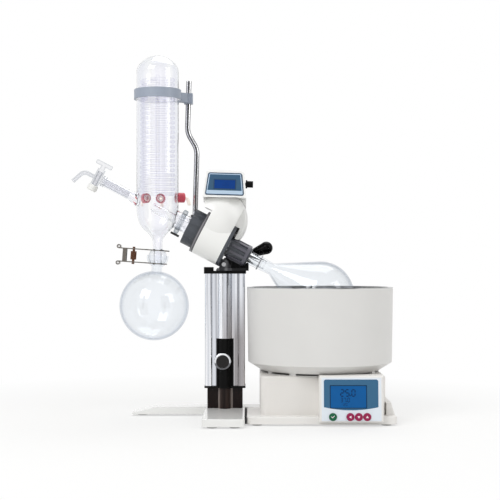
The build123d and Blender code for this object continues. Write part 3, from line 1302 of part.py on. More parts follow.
def stopcock_key():
    stem = disc(KEY_RADIUS, -KEY_LOW, KEY_HIGH)
    stem += disc(BARREL_RADIUS, BARREL_HALF + CLEAR, BARREL_HALF + CLEAR + KEY_RADIUS)
    bar = Rot(0, 90, 0) * disc(HANDLE_RADIUS, -HANDLE_LENGTH / 2, HANDLE_LENGTH / 2)
    bar = fillet(bar.edges(), HANDLE_RADIUS / 2)
    turn = DRIVE * Pos(0, 0, STOPCOCK_STATION) * Rot(0, 90, 0)
    return turn * (stem + Pos(0, 0, KEY_HIGH) * bar)


def stopcock_nut():
    low = -BARREL_HALF - CLEAR - KEY_NUT_LENGTH
    nut = tube(KEY_NUT_RADIUS, KEY_RADIUS + RUNNING, low, -BARREL_HALF - CLEAR)
    nut = fillet(nut.edges().filter_by(lambda edge: edge.length > 2 * math.pi * KEY_RADIUS + 2), KEY_RADIUS / 2)
    return DRIVE * Pos(0, 0, STOPCOCK_STATION) * Rot(0, 90, 0) * nut


# Receiving flask and joint clamp


def receiving_flask():
    bulb = Pos(0, 0, -RECEIVER_DROP) * Sphere(RECEIVER_BULB)
    neck = disc(RECEIVER_NECK, -RECEIVER_DROP, -BALL_RADIUS)
    cup = Sphere(CUP_RADIUS) & disc(2 * CUP_RADIUS, -2 * CUP_RADIUS, CUP_RIM)
    body = bulb + neck + cup
    body -= Pos(0, 0, -RECEIVER_DROP) * Sphere(RECEIVER_BULB - GLASS_WALL)
    body -= disc(RECEIVER_NECK - GLASS_WALL, -RECEIVER_DROP, 0)
    return RECEIVER * (body - Sphere(BALL_RADIUS + CUP_FIT))


def fork(slot, low):
    """One fork plate of the joint clamp, open towards +X."""
    plan = Circle(FORK_RADIUS) + rectangle((-FORK_LEFT, 0), (-FORK_ARM, FORK_ARM))
    plan -= Circle(slot)
    plan -= rectangle((0, 2 * FORK_RADIUS), (-slot, slot))
    plan -= Pos(THUMB_X, 0) * Circle(THUMB_SHAFT + RUNNING)
    return upright(plan, low, low + FORK_THICKNESS)


def joint_clamp():
    upper = fork(FORK_UPPER_SLOT, FORK_HALF)
    lower = fork(FORK_LOWER_SLOT, -FORK_HALF - FORK_THICKNESS)
    body = upper + lower
    for side in (-1, 1):
        ends = sorted((side * FORK_ARM, side * (FORK_ARM - FORK_THICKNESS)))
        body += block((-FORK_WEB_LEFT, FORK_WEB_LENGTH - FORK_WEB_LEFT), ends, (-FORK_HALF, FORK_HALF))
    for z in (FORK_HALF + FORK_THICKNESS / 2 + FORK_CURL, -FORK_HALF - FORK_THICKNESS / 2 - FORK_CURL):
        inner = FORK_CURL - FORK_THICKNESS / 2
        outer = FORK_CURL + FORK_THICKNESS / 2
        curl = lathe_y(outer, -FORK_ARM, FORK_ARM, -FORK_LEFT, z) - lathe_y(inner, -FORK_ARM, FORK_ARM, -FORK_LEFT, z)
        body += curl
    return RECEIVER * body


def joint_clamp_screw():
    reach = FORK_HALF + FORK_THICKNESS + FORK_CURL
    wheel = disc(THUMB_RADIUS, -THUMB_HALF, THUMB_HALF) + disc(THUMB_SHAFT, -reach, reach)
    for index in range(KNOB_FLUTES):
        turn = Rot(0, 0, index * 360 / KNOB_FLUTES)
        wheel -= turn * Pos(THUMB_RADIUS, 0, 0) * disc(KNOB_FLUTE_RADIUS, -THUMB_HALF, THUMB_HALF)
    return RECEIVER * Pos(THUMB_X, 0, 0) * wheel


# Heating bath


def bath_bowl():
    outer = turned_points((0, BATH_CONE_LOW), (BATH_CONE_RADIUS, BATH_CONE_LOW), (BATH_WALL_RADIUS, BATH_WALL_LOW),
                          (BATH_RIM_RADIUS, BATH_RIM_Z), (0, BATH_RIM_Z))
    floor = BATH_CONE_LOW + BATH_WALL
    inner = turned_points((0, floor), (BATH_CONE_RADIUS - BATH_WALL, floor),
                          (BATH_WALL_RADIUS - BATH_WALL, BATH_WALL_LOW + BATH_WALL),
                          (BATH_RIM_RADIUS - BATH_WALL, BATH_RIM_Z), (0, BATH_RIM_Z))
    ring = tube(VENT_RADIUS, VENT_RADIUS - VENT_WALL, HOUSING_TOP, BATH_CONE_LOW)
    middle = (HOUSING_TOP + BATH_CONE_LOW) / 2
    half = VENT_SLOT_WIDTH / 2
    slot = block((VENT_RADIUS - 3 * VENT_WALL, VENT_RADIUS + VENT_WALL), (-half, half),
                 (middle - VENT_SLOT_HEIGHT / 2, middle + VENT_SLOT_HEIGHT / 2))
    for index in range(VENT_SLOTS):
        ring -= Rot(0, 0, (index + 0.5) * 360 / VENT_SLOTS) * slot
    return BATH * (outer - inner - disc(BATH_WIRE_HOLE, 0, floor) + ring)


def bath_pan():
    rim = BATH_RIM_Z + PAN_WALL
    outer = disc(PAN_RADIUS, PAN_LOW, rim)
    outer = fillet(outer.edges().group_by(Axis.Z)[0], PAN_CORNER)
    inner = disc(PAN_RADIUS - PAN_WALL, PAN_FLOOR, rim)
    inner = fillet(inner.edges().group_by(Axis.Z)[0], PAN_CORNER - PAN_WALL)
    return BATH * (outer + disc(BATH_RIM_RADIUS, BATH_RIM_Z, rim) - inner)


def heater():
    return BATH * tube(HEATER_RADIUS, HEATER_INNER, PAN_LOW - HEATER_THICKNESS, PAN_LOW)


def bath_housing():
    half = HOUSING_HALF
    depth = HOUSING_HALF_DEPTH
    body = rounded(block((-half, half), (-depth, depth), (BASE_TOP, HOUSING_TOP)), Axis.Z, HOUSING_CORNER)
    top_edges = body.faces().sort_by(Axis.Z)[-1].edges()
    body = fillet(top_edges, BATH_WALL)
    inner = block((BATH_WALL - half, half - BATH_WALL), (BATH_WALL - depth, depth - BATH_WALL),
                  (BASE_TOP, HOUSING_TOP - BATH_WALL))
    body -= rounded(inner, Axis.Z, HOUSING_CORNER - BATH_WALL)
    body -= disc(BATH_WIRE_HOLE, BASE_TOP, HOUSING_TOP)
    hole = block((INLET_X - INLET_WIDTH / 2 - CLEAR, INLET_X + INLET_WIDTH / 2 + CLEAR), (0, depth),
                 (INLET_Z - INLET_HEIGHT / 2 - CLEAR, INLET_Z + INLET_HEIGHT / 2 + CLEAR))
    return BATH * (body - hole)


def power_inlet():
    back = HOUSING_HALF_DEPTH + INLET_FLANGE_THICKNESS
    body = block((-INLET_WIDTH / 2, INLET_WIDTH / 2), (back - INLET_DEPTH, back),
                 (-INLET_HEIGHT / 2, INLET_HEIGHT / 2))
    half = INLET_WIDTH / 2 + INLET_FLANGE
    high = INLET_HEIGHT / 2 + INLET_FLANGE
    body += block((-half, half), (HOUSING_HALF_DEPTH, back), (-high, high))
    wall = INLET_FLANGE_THICKNESS
    body -= block((wall - INLET_WIDTH / 2, INLET_WIDTH / 2 - wall), (back - INLET_DEPTH + wall, back),
                  (wall - INLET_HEIGHT / 2, INLET_HEIGHT / 2 - wall))
    for x, z in ((-1, -1), (0, 1), (1, -1)):
        pin_x = x * INLET_WIDTH / 4
        pin_z = z * wall
        body += block((pin_x - wall, pin_x + wall), (back - INLET_DEPTH + wall, back - wall),
                      (pin_z - wall / 2, pin_z + wall / 2))
    return BATH * Pos(INLET_X, 0, INLET_Z) * body


def control_box():
    top = CONTROL_LOW + CONTROL_HEIGHT
    tray_room = TRAY_REACH + 1
    over_tray = BASE_TOP + 1
    back = HOUSING_HALF_DEPTH
    foot = CONTROL_LOW + CONTROL_LIFT
    profile = [(-back, top), (CONTROL_LEAN - CONTROL_FRONT, top),
               (CONTROL_LEAN * CONTROL_LIFT / CONTROL_HEIGHT - CONTROL_FRONT, foot),
               (-tray_room, foot), (-tray_room, over_tray), (-back, over_tray)]
    right = CONTROL_LEFT + CONTROL_WIDTH
    body = along_x(profile, CONTROL_LEFT, right)
    front = [edge for edge in body.edges() if edge.center().Y < CONTROL_LEAN - CONTROL_FRONT + RUNNING]
    body = fillet(front, CONTROL_CORNER)
    hollow_front = CONTROL_FRONT - CONTROL_LEAN - 2 * CONTROL_WALL
    body -= block((CONTROL_LEFT + CONTROL_WALL, right - CONTROL_WALL), (-hollow_front, -back),
                  (over_tray + CONTROL_WALL, HOUSING_TOP - CONTROL_WALL))
    low_bowl = HOUSING_TOP - 2 * GAP
    body -= BATH * turned_points(
        (0, low_bowl), (BATH_CONE_RADIUS + GAP, low_bowl), (BATH_CONE_RADIUS + GAP, BATH_CONE_LOW - GAP),
        (BATH_WALL_RADIUS + GAP, BATH_WALL_LOW - GAP), (0, BATH_WALL_LOW - GAP))
    body -= CONTROL_FACE * Pos(0, 0, -OVERLAY_THICKNESS) * extrude(overlay_outline(RUNNING), amount=CONTROL_WALL)
    depth = KEY_CAP_LENGTH - KEY_CAP_PROUD + KEY_TRAVEL + CLEAR
    for place in KEY_PLACES.values():
        body -= CONTROL_FACE * Pos(place, KEY_ROW, 0) * disc(KEY_CAP_RADIUS + 2 * RUNNING, -depth, CONTROL_WALL)
    return body


def overlay_outline(grow):
    """Front view of the bath's panel on the control face, grown by a fit."""
    high = CONTROL_HEIGHT / math.cos(math.radians(CONTROL_TURN)) - OVERLAY_HIGH
    face = rectangle((OVERLAY_LEFT - grow, CONTROL_WIDTH - OVERLAY_RIGHT + grow), (OVERLAY_LOW - grow, high + grow))
    return fillet(face.vertices(), OVERLAY_CORNER)


def bath_lcd_frame():
    return CONTROL_FACE * Pos(BATH_LCD_LEFT, BATH_LCD_LOW, -OVERLAY_THICKNESS / 2)


def control_panel():
    plate = Pos(0, 0, -OVERLAY_THICKNESS) * extrude(overlay_outline(0), amount=OVERLAY_THICKNESS + GAP / 2)
    pocket = Pos(-RUNNING, -RUNNING, 0) * Box(
        BATH_LCD_WIDTH + 2 * RUNNING, BATH_LCD_HEIGHT + 2 * RUNNING, OVERLAY_THICKNESS * 2, align=CORNER)
    return CONTROL_FACE * plate - bath_lcd_frame() * pocket


def bath_lcd():
    return bath_lcd_frame() * Box(BATH_LCD_WIDTH, BATH_LCD_HEIGHT, OVERLAY_THICKNESS / 2, align=CORNER)


def bath_key(place):
    low = KEY_CAP_PROUD - KEY_CAP_LENGTH
    cap = disc(KEY_CAP_RADIUS, low, KEY_CAP_PROUD)
    cap = fillet(cap.edges().group_by(Axis.Z)[-1], KEY_CAP_PROUD / 2)
    return CONTROL_FACE * Pos(place, KEY_ROW, 0) * cap


PIECES = [
    stand_base, rubber_feet, mast, mast_bolts, gas_spring_cylinder, bath_tray, bath_housing,
    bath_bowl, bath_pan, heater, power_inlet, control_box, control_panel, bath_lcd,
    column_shell, column_cap, gas_spring_rod,
    lift_grip, button_bezel, lift_button, tilt_bracket, tilt_pin, tilt_lever, drive_housing, rear_cover,
    console_shell, console_panel, console_lcd, speed_knob, front_flange, rear_flange,
    head_screws, spindle_bearings, drive_motor, drive_belt, motor_rotor, spindle, flask_collar,
    vapour_duct, evaporating_flask, joint_clip, union_nut, seal_ring, condenser_jacket, condenser_coil,
    port_caps, hose_nozzles, support_rod, condenser_clamp, clamp_screw, stopcock_body, stopcock_key,
    stopcock_nut, receiving_flask, joint_clamp, joint_clamp_screw,
]


def build():
    """All pieces by node name, moved so that the origin lies under the middle of the whole."""
    shapes = {piece.__name__: piece() for piece in PIECES}
    shapes.update({name: bath_key(place) for name, place in KEY_PLACES.items()})
    corners = [shape.bounding_box() for shape in shapes.values()]
    middle = [(min(getattr(box.min, side) for box in corners) + max(getattr(box.max, side) for box in corners)) / 2
              for side in ("X", "Y")]
    shift = Pos(-middle[0], -middle[1], 0)
    return {name: shift * shape for name, shape in shapes.items()}, shift


def main():
    shapes, _ = build()
    os.makedirs("parts", exist_ok=True)
    for name, shape in shapes.items():
        export_step(shape, f"parts/{name}.step")


if __name__ == "__main__":
    main()
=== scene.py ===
"""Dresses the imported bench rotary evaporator.

Every solid gets its finish, and printed panels, displays, key marks and small fittings are added. The solids
come from the frame and stay where they are. Lengths are metres, in the frame's own axes.
"""

import math

import bmesh
import bpy
from mathutils import Matrix, Vector


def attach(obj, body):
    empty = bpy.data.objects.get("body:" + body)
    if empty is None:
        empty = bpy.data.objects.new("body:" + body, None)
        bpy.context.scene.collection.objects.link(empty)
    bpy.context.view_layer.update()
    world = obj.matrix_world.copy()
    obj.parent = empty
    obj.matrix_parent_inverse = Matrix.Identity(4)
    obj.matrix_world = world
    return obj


bl_info = {
    "name": "Rotary evaporator",
    "version": (1, 0, 0),
    "blender": (4, 5, 0),
    "location": "View3D > Sidebar > Evaporator",
    "description": "Finishes, panels and stage for a bench rotary evaporator",
    "category": "Object",
}

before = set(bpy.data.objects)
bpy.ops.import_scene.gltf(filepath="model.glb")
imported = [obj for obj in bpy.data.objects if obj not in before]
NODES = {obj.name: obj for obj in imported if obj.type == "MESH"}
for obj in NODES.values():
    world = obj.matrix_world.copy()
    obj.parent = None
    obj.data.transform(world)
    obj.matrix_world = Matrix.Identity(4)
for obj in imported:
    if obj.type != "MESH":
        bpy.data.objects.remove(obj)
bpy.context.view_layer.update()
MM = 0.001


def linear(code):
    """sRGB hex code as linear RGBA."""
    parts = [int(code[at:at + 2], 16) / 255 for at in (1, 3, 5)]
    return tuple(c / 12.92 if c <= 0.04045 else ((c + 0.055) / 1.055) ** 2.4 for c in parts) + (1.0,)


def darker(colour, share):
    """A share of a linear colour's light."""
    return tuple(c * share for c in colour[:3]) + (1.0,)


def place(origin, x_axis, y_axis):
    """Matrix of a local frame from its origin and two of its axes."""
    x_axis = Vector(x_axis).normalized()
    y_axis = Vector(y_axis).normalized()
    turn = Matrix((x_axis, y_axis, x_axis.cross(y_axis))).transposed().to_4x4()
    return Matrix.Translation(origin) @ turn


# Local frames of the model: x across, y up, z out of the face
CONSOLE_FACE = place((-0.01348, -0.036, 0.414714), (0.99956, 0.0, -0.029666), (0.028608, 0.264717, 0.963902))
CONTROL_FACE = place((0.157836, -0.127, 0.005), (1.0, 0.0, 0.0), (0.0, 0.069118, 0.997608))
DRIVE_AXIS = place((-0.059564, 0.008, 0.3515), (0.461749, 0.0, 0.887011), (0.0, -1.0, 0.0))


def connect(tree, node, sockets):
    """Sets a node's inputs, as values or links."""
    for name, value in sockets.items():
        if isinstance(value, bpy.types.NodeSocket):
            tree.links.new(value, node.inputs[name])
        else:
            node.inputs[name].default_value = value


def add_node(tree, kind, sockets=None, **settings):
    """Adds a shader node with its settings and its inputs."""
    made = tree.nodes.new("ShaderNode" + kind)
    for name, value in settings.items():
        setattr(made, name, value)
    connect(tree, made, sockets or {})
    return made


def per_mm(size):
    """Texture scale on metre coordinates for a feature of so many millimetres."""
    return 1 / (size * MM)


def empty_tree(owner):
    """Node tree of a material or a world, with nothing in it."""
    owner.use_nodes = True
    owner.node_tree.nodes.clear()
    return owner.node_tree


def start_material(name):
    """Empty node material with its shader and its Object coordinates."""
    material = bpy.data.materials.new(name)
    tree = empty_tree(material)
    shader = add_node(tree, "BsdfPrincipled")
    add_node(tree, "OutputMaterial", {"Surface": shader.outputs["BSDF"]})
    coords = add_node(tree, "TexCoord").outputs["Object"]
    return material, tree, shader, coords


def principled(material):
    """Main shader of a material."""
    return next(node for node in material.node_tree.nodes if node.type == "BSDF_PRINCIPLED")


def grainy(name, colour, roughness, grain, depth, shade=0.94, specular=0.5):
    """Paint or moulded plastic: fine grain in the surface and a faint drift of tone."""
    material, tree, shader, coords = start_material(name)
    drift = add_node(tree, "TexNoise", {"Vector": coords, "Scale": per_mm(60), "Detail": 3.0})
    tone = add_node(tree, "Mix", {"Factor": drift.outputs["Fac"], "A": darker(colour, shade),
                                  "B": colour}, data_type="RGBA")
    grit = add_node(tree, "TexNoise", {"Vector": coords, "Scale": per_mm(grain), "Detail": 2.0})
    bump = add_node(tree, "Bump", {"Height": grit.outputs["Fac"], "Distance": depth * MM,
                                   "Strength": 0.35})
    wear = add_node(tree, "MapRange", {"Value": grit.outputs["Fac"], "To Min": roughness - 0.05,
                                       "To Max": roughness + 0.07})
    connect(tree, shader, {"Base Color": tone.outputs["Result"], "Roughness": wear.outputs["Result"],
                           "Normal": bump.outputs["Normal"], "Specular IOR Level": specular})
    return material


def glowing_plastic(name, colour, roughness, glow, strength):
    """Thin moulded plastic with a painted glow: it stands in for light coming through, so its hollow side
    stays bright.
    """
    material = grainy(name, colour, roughness, 0.7, 0.03)
    connect(material.node_tree, principled(material), {"Emission Color": glow,
                                                       "Emission Strength": strength})
    return material


def brushed(name, colour, roughness, stretch, line=0.5, depth=0.02):
    """Metal with fine lines: noise squeezed across the brushing and drawn out along it."""
    material, tree, shader, coords = start_material(name)
    squeeze = add_node(tree, "Mapping", {"Vector": coords, "Scale": stretch})
    lines = add_node(tree, "TexNoise", {"Vector": squeeze.outputs["Vector"], "Scale": per_mm(line),
                                        "Detail": 2.0})
    tone = add_node(tree, "Mix", {"Factor": lines.outputs["Fac"], "A": darker(colour, 0.82),
                                  "B": colour}, data_type="RGBA")
    rough = add_node(tree, "MapRange", {"Value": lines.outputs["Fac"], "To Min": roughness - 0.06,
                                        "To Max": roughness + 0.1})
    bump = add_node(tree, "Bump", {"Height": lines.outputs["Fac"], "Distance": depth * MM,
                                   "Strength": 0.3})
    connect(tree, shader, {"Base Color": tone.outputs["Result"], "Roughness": rough.outputs["Result"],
                           "Normal": bump.outputs["Normal"], "Metallic": 1.0})
    return material


def bands(tree, value, stops):
    """Colours along a coordinate in metres, from stops given in millimetres."""
    low, high = stops[0][0], stops[-1][0]
    share = add_node(tree, "MapRange", {"Value": value, "From Min": low * MM, "From Max": high * MM})
    ramp = add_node(tree, "ValToRGB", {"Fac": share.outputs["Result"]})
    points = ramp.color_ramp.elements
    points[0].color = linear(stops[0][1])
    points[1].color = linear(stops[-1][1])
    for at, code in stops[1:-1]:
        points.new((at - low) / (high - low)).color = linear(code)
    return ramp.outputs["Color"]


def axes(tree):
    """Object coordinates of a material, one by one."""
    coords = add_node(tree, "TexCoord").outputs["Object"]
    return add_node(tree, "SeparateXYZ", {"Vector": coords}).outputs


def on_face(tree, face):
    """Object coordinates turned into a face's own x, y and z."""
    coords = add_node(tree, "TexCoord").outputs["Object"]
    local = add_node(tree, "Mapping", {"Vector": coords, "Location": face.to_translation(),
                                       "Rotation": face.to_euler()}, vector_type="TEXTURE")
    return add_node(tree, "SeparateXYZ", {"Vector": local.outputs["Vector"]}).outputs


def between(tree, value, limits):
    """1 where a value lies between two limits in millimetres, else 0."""
    low, high = limits
    inside = add_node(tree, "Math", {0: value, 1: (low + high) / 2 * MM, 2: (high - low) / 2 * MM},
                      operation="COMPARE")
    return inside.outputs[0]


def lay_over(material, factor, colour):
    """Lays a colour over a material's own, as far as a factor says."""
    tree = material.node_tree
    base = principled(material).inputs["Base Color"]
    mixed = add_node(tree, "Mix", {"Factor": factor, "A": base.links[0].from_socket, "B": colour},
                     data_type="RGBA")
    tree.links.new(mixed.outputs["Result"], base)


# Share of a laid-over tone over the fine grain of its material: painted reflections, highlights and shade,
# and the bracket's black paint
PAINTED_TONE_SHARE = 0.85


def toned(material, stops, axis):
    """Lays tones along an axis over a material's grain."""
    tree = material.node_tree
    lay_over(material, PAINTED_TONE_SHARE, bands(tree, axes(tree)[axis], stops))
    return material


# Painted reflections that a polished extrusion mirrors, from the painted shade of its grooves and edges to
# its whitest lines
GROOVE_SHADE = "#a5a8af"
DIM = "#c5c8cf"
SOFT = "#d1d4db"
PALE = "#e0e3ea"
BRIGHT = "#f3f5fa"
WHITE = "#fbfcff"
# Browner painted reflections that it mirrors from the bench
WARM_DARK = "#7d7878"
WARM_DIM = "#999495"
WARM_SOFT = "#b1aeb0"
WARM_PALE = "#d0cccd"
# Painted reflections and shade as streaks across the column in millimetres, high up and low down, and the
# heights between which they blend
COLUMN_HIGH = ((-52, GROOVE_SHADE), (-49.5, BRIGHT), (-46.5, DIM), (-43, BRIGHT), (-39.8, GROOVE_SHADE), (-37, PALE),
               (-33, SOFT), (-29.8, GROOVE_SHADE), (-26, WHITE), (-19.5, WHITE), (-16, DIM), (-10, PALE), (-5, DIM),
               (0, SOFT), (5.5, SOFT), (8, BRIGHT), (11, GROOVE_SHADE), (13.5, GROOVE_SHADE), (16.8, BRIGHT), (20.5, SOFT))
COLUMN_LOW = ((-52, GROOVE_SHADE), (-48.5, WHITE), (-44, SOFT), (-41, WHITE), (-37.5, SOFT), (-33, PALE),
              (-28.5, GROOVE_SHADE), (-24.5, WHITE), (-18.5, WHITE), (-15, WARM_SOFT), (-9, WARM_SOFT),
              (-4.5, WARM_DIM), (0, WARM_PALE), (4, WARM_SOFT), (7.5, WARM_DARK), (10.5, WARM_DIM),
              (14, WARM_DARK), (18, WARM_DIM), (21, WARM_DIM), (23, WARM_PALE))
COLUMN_BLEND = (150, 240)


def column_metal():
    """Polished anodised extrusion with painted reflections and shade: bright and dark upright streaks,
    browner low down on the right.
    """
    material = brushed("bright anodised aluminium", linear("#e6e7ec"), 0.2, (1, 1, 0.01), 1.6)
    tree = material.node_tree
    local = axes(tree)
    low, high = COLUMN_BLEND
    height = add_node(tree, "MapRange", {"Value": local["Z"], "From Min": low * MM,
                                         "From Max": high * MM})
    streaks = add_node(tree, "Mix", {"Factor": height.outputs["Result"],
                                     "A": bands(tree, local["X"], COLUMN_LOW),
                                     "B": bands(tree, local["X"], COLUMN_HIGH)}, data_type="RGBA")
    lay_over(material, PAINTED_TONE_SHARE, streaks.outputs["Result"])
    return material


def streaked_with_light(name, base, stops, roughness):
    """Enamel or paint with painted light: upright streaks of highlight and shade, as its rounded edges would
    catch them.
    """
    return toned(grainy(name, base, roughness, 6.0, 0.02, 0.8, specular=0.14), stops, "X")


# Tones of brown-black enamel, from its own colour to painted highlights and shade: the lines of light along
# its edges
ENAMEL = "#180d0c"
ENAMEL_DULL = "#2a201d"
ENAMEL_GLOW = "#3a2e2a"
ENAMEL_SHEEN = "#918580"
ENAMEL_LINE = "#a59a95"
MAST_LIGHT_STREAKS = ((-46, ENAMEL), (-26.5, ENAMEL), (-25.2, ENAMEL_LINE), (-23.4, ENAMEL_SHEEN),
                (-22, ENAMEL_GLOW), (-18.5, ENAMEL_DULL), (-14, ENAMEL), (-9, ENAMEL_GLOW),
                (-4, ENAMEL_DULL), (-1.8, ENAMEL_SHEEN), (0.6, ENAMEL_LINE), (2, ENAMEL), (20, ENAMEL))
# Tones of the bracket's dark paint, black to the right, with painted shade and painted highlights in upright
# bands to the left, from shade to the lines of light
BLACK_PAINT_AND_SHADE = "#121213"
PAINT_DULL = "#2d2d30"
PAINT = "#3b3b3e"
PAINT_EDGE = "#4a4a4c"
PAINT_LINE = "#77777a"
BRACKET_PAINT_AND_LIGHT = ((-34, PAINT_DULL), (-31, BLACK_PAINT_AND_SHADE), (-27, PAINT_LINE), (-22, PAINT_DULL), (-15, PAINT),
                   (-11, PAINT_LINE), (-6, PAINT), (-1, PAINT_EDGE), (1, BLACK_PAINT_AND_SHADE), (30, BLACK_PAINT_AND_SHADE))
# Painted reflection up the button's chrome ring in millimetres: a dark bench below and a bright room above
RING_REFLECTION_TONES = ((88, "#1d1c1e"), (103, "#55565a"), (106, "#e4e6ea"), (122, "#f2f3f5"))
# Tones along the drive axis in millimetres: a pale band between dark seams of painted shade in the gaps
FLANGE_GAP_SHADE = ((-14, "#3b3c42"), (-3.2, "#2c2c30"), (-2.4, "#101012"), (-1.4, "#8b898d"), (0.6, "#77757a"),
                (1.4, "#2a292d"), (3.2, "#1d1c20"))


def flange_metal():
    """Cast flange: a pale band between two dark seams of painted shade in the gaps at its sides."""
    material = grainy("cast flange", linear("#6f6d72"), 0.35, 0.8, 0.04)
    tree = material.node_tree
    lay_over(material, PAINTED_TONE_SHARE, bands(tree, on_face(tree, DRIVE_AXIS)["Z"], FLANGE_GAP_SHADE))
    return material


def glassy(name, colour, edge):
    """Blown glass: clear in the middle, greyer where the wall is seen along its length."""
    material, tree, shader, coords = start_material(name)
    facing = add_node(tree, "LayerWeight", {"Blend": 0.35}).outputs["Facing"]
    tone = add_node(tree, "Mix", {"Factor": facing, "A": colour, "B": edge}, data_type="RGBA")
    waves = add_node(tree, "TexNoise", {"Vector": coords, "Scale": per_mm(35), "Detail": 1.0})
    bump = add_node(tree, "Bump", {"Height": waves.outputs["Fac"], "Distance": 0.2 * MM,
                                   "Strength": 0.1})
    connect(tree, shader, {"Base Color": tone.outputs["Result"], "Normal": bump.outputs["Normal"],
                           "Roughness": 0.0, "Transmission Weight": 1.0, "IOR": 1.47})
    return material


def see_through(tree, shader, tone, share):
    """Lets light of a tone straight through, with a share of the shader's own surface over it."""
    clear = add_node(tree, "BsdfTransparent", {"Color": tone})
    both = add_node(tree, "MixShader", {"Fac": share, 1: clear.outputs[0], 2: shader.outputs["BSDF"]})
    output = next(node for node in tree.nodes if node.type == "OUTPUT_MATERIAL")
    tree.links.new(both.outputs[0], output.inputs["Surface"])


def thin_glass(name, colour, edge, haze):
    """Thin drawn tube: nearly clear, pale grey along its edges, with a little haze and shine."""
    material, tree, shader, coords = start_material(name)
    facing = add_node(tree, "LayerWeight", {"Blend": 0.45}).outputs["Facing"]
    tone = add_node(tree, "Mix", {"Factor": facing, "A": colour, "B": edge}, data_type="RGBA")
    cloud = add_node(tree, "TexNoise", {"Vector": coords, "Scale": per_mm(9), "Detail": 1.0})
    share = add_node(tree, "MapRange", {"Value": cloud.outputs["Fac"], "To Min": haze,
                                        "To Max": 2 * haze})
    connect(tree, shader, {"Base Color": linear("#e9ebee"), "Roughness": 0.08})
    see_through(tree, shader, tone.outputs["Result"], share.outputs["Result"])
    return material


# Tint of the light that a thin bulb lets through, from face on at 0 to along its wall at 1000
BULB_TINTS = ((0, "#fcfdfe"), (550, "#fafbfc"), (780, "#f1f3f6"), (900, "#dde1e6"), (1000, "#a9afb7"))


def blown_bulb():
    """Thin blown wall: it hardly bends light, darkens along its rim and mirrors the room softly."""
    material, tree, shader, coords = start_material("blown flask glass")
    facing = add_node(tree, "LayerWeight", {"Blend": 0.5}).outputs["Facing"]
    waves = add_node(tree, "TexNoise", {"Vector": coords, "Scale": per_mm(45), "Detail": 1.0})
    bump = add_node(tree, "Bump", {"Height": waves.outputs["Fac"], "Distance": 0.3 * MM,
                                   "Strength": 0.1})
    shine = add_node(tree, "MapRange", {"Value": facing, "From Min": 0.4, "To Min": 0.035,
                                        "To Max": 0.22})
    connect(tree, shader, {"Base Color": linear("#f2f3f5"), "Metallic": 1.0, "Roughness": 0.04,
                           "Normal": bump.outputs["Normal"]})
    see_through(tree, shader, bands(tree, facing, BULB_TINTS), shine.outputs["Result"])
    return material


# Tint across the condenser in millimetres: pale lavender glass with two upright clear streaks of painted
# highlight
LAVENDER = "#fbfbfe"
HIGHLIGHT_CLEAR = "#ffffff"
CONDENSER_TINT_AND_HIGHLIGHTS = ((-182, LAVENDER), (-164, LAVENDER), (-161, HIGHLIGHT_CLEAR), (-152, HIGHLIGHT_CLEAR), (-148, LAVENDER),
                  (-124, LAVENDER), (-121, HIGHLIGHT_CLEAR), (-115, HIGHLIGHT_CLEAR), (-111, LAVENDER), (-100, LAVENDER))


def condenser_glass():
    """Blown glass with a faint lavender cast and painted highlights: the upright streaks of a softbox."""
    material = glassy("condenser glass", linear("#fefefe"), linear("#e0e4e8"))
    tree = material.node_tree
    tone = principled(material).inputs["Base Color"].links[0].from_node
    connect(tree, tone, {"A": bands(tree, axes(tree)["X"], CONDENSER_TINT_AND_HIGHLIGHTS)})
    return material


# Painted reflection on a polished rod, in millimetres from its middle: a dark core, a white line, then dark
# again
ROD_REFLECTION_TONES = ((0, "#0d0d0e"), (0.9, "#19191a"), (1.4, "#8d8d90"), (2.0, "#f6f6f7"), (2.9, "#ececed"),
             (3.6, "#8a8a8d"), (4.2, "#3e3e41"), (5.0, "#5f5f62"))
# Middle line of the support rod: where it starts, how it leans, and its sideways step
ROD_FOOT_X, ROD_FOOT_Z = -72.96, 362.0
ROD_LEAN = 0.0295
ROD_STEP, ROD_STEP_LOW, ROD_STEP_HIGH = -19.5, 505.0, 554.0


def polished_rod():
    """Polished round bar with a painted reflection: streaks of a bright room on each side of a dark core,
    all along its bent line.
    """
    material = brushed("polished rod", linear("#b4b6ba"), 0.14, (1, 1, 0.03), 1.0)
    tree = material.node_tree
    local = axes(tree)
    start = (ROD_FOOT_X - ROD_LEAN * ROD_FOOT_Z) * MM
    line = add_node(tree, "Math", {0: local["Z"], 1: ROD_LEAN, 2: start}, operation="MULTIPLY_ADD")
    step = add_node(tree, "MapRange", {"Value": local["Z"], "From Min": ROD_STEP_LOW * MM,
                                       "From Max": ROD_STEP_HIGH * MM, "To Max": ROD_STEP * MM},
                    interpolation_type="SMOOTHSTEP")
    aside = add_node(tree, "Math", {0: local["X"], 1: line.outputs[0]}, operation="SUBTRACT")
    offset = add_node(tree, "Math", {0: aside.outputs[0], 1: step.outputs["Result"]},
                      operation="SUBTRACT")
    distance = add_node(tree, "Math", {0: offset.outputs[0]}, operation="ABSOLUTE")
    lay_over(material, PAINTED_TONE_SHARE, bands(tree, distance.outputs[0], ROD_REFLECTION_TONES))
    return material


# Condenser axis and the radius inside the clamp ring in millimetres, and the painted glow inside the ring
CONDENSER_X, CONDENSER_Y = -141.16, 8.0
RING_INSIDE_RADIUS = 41.0
PAINTED_INSIDE_GLOW = 0.55


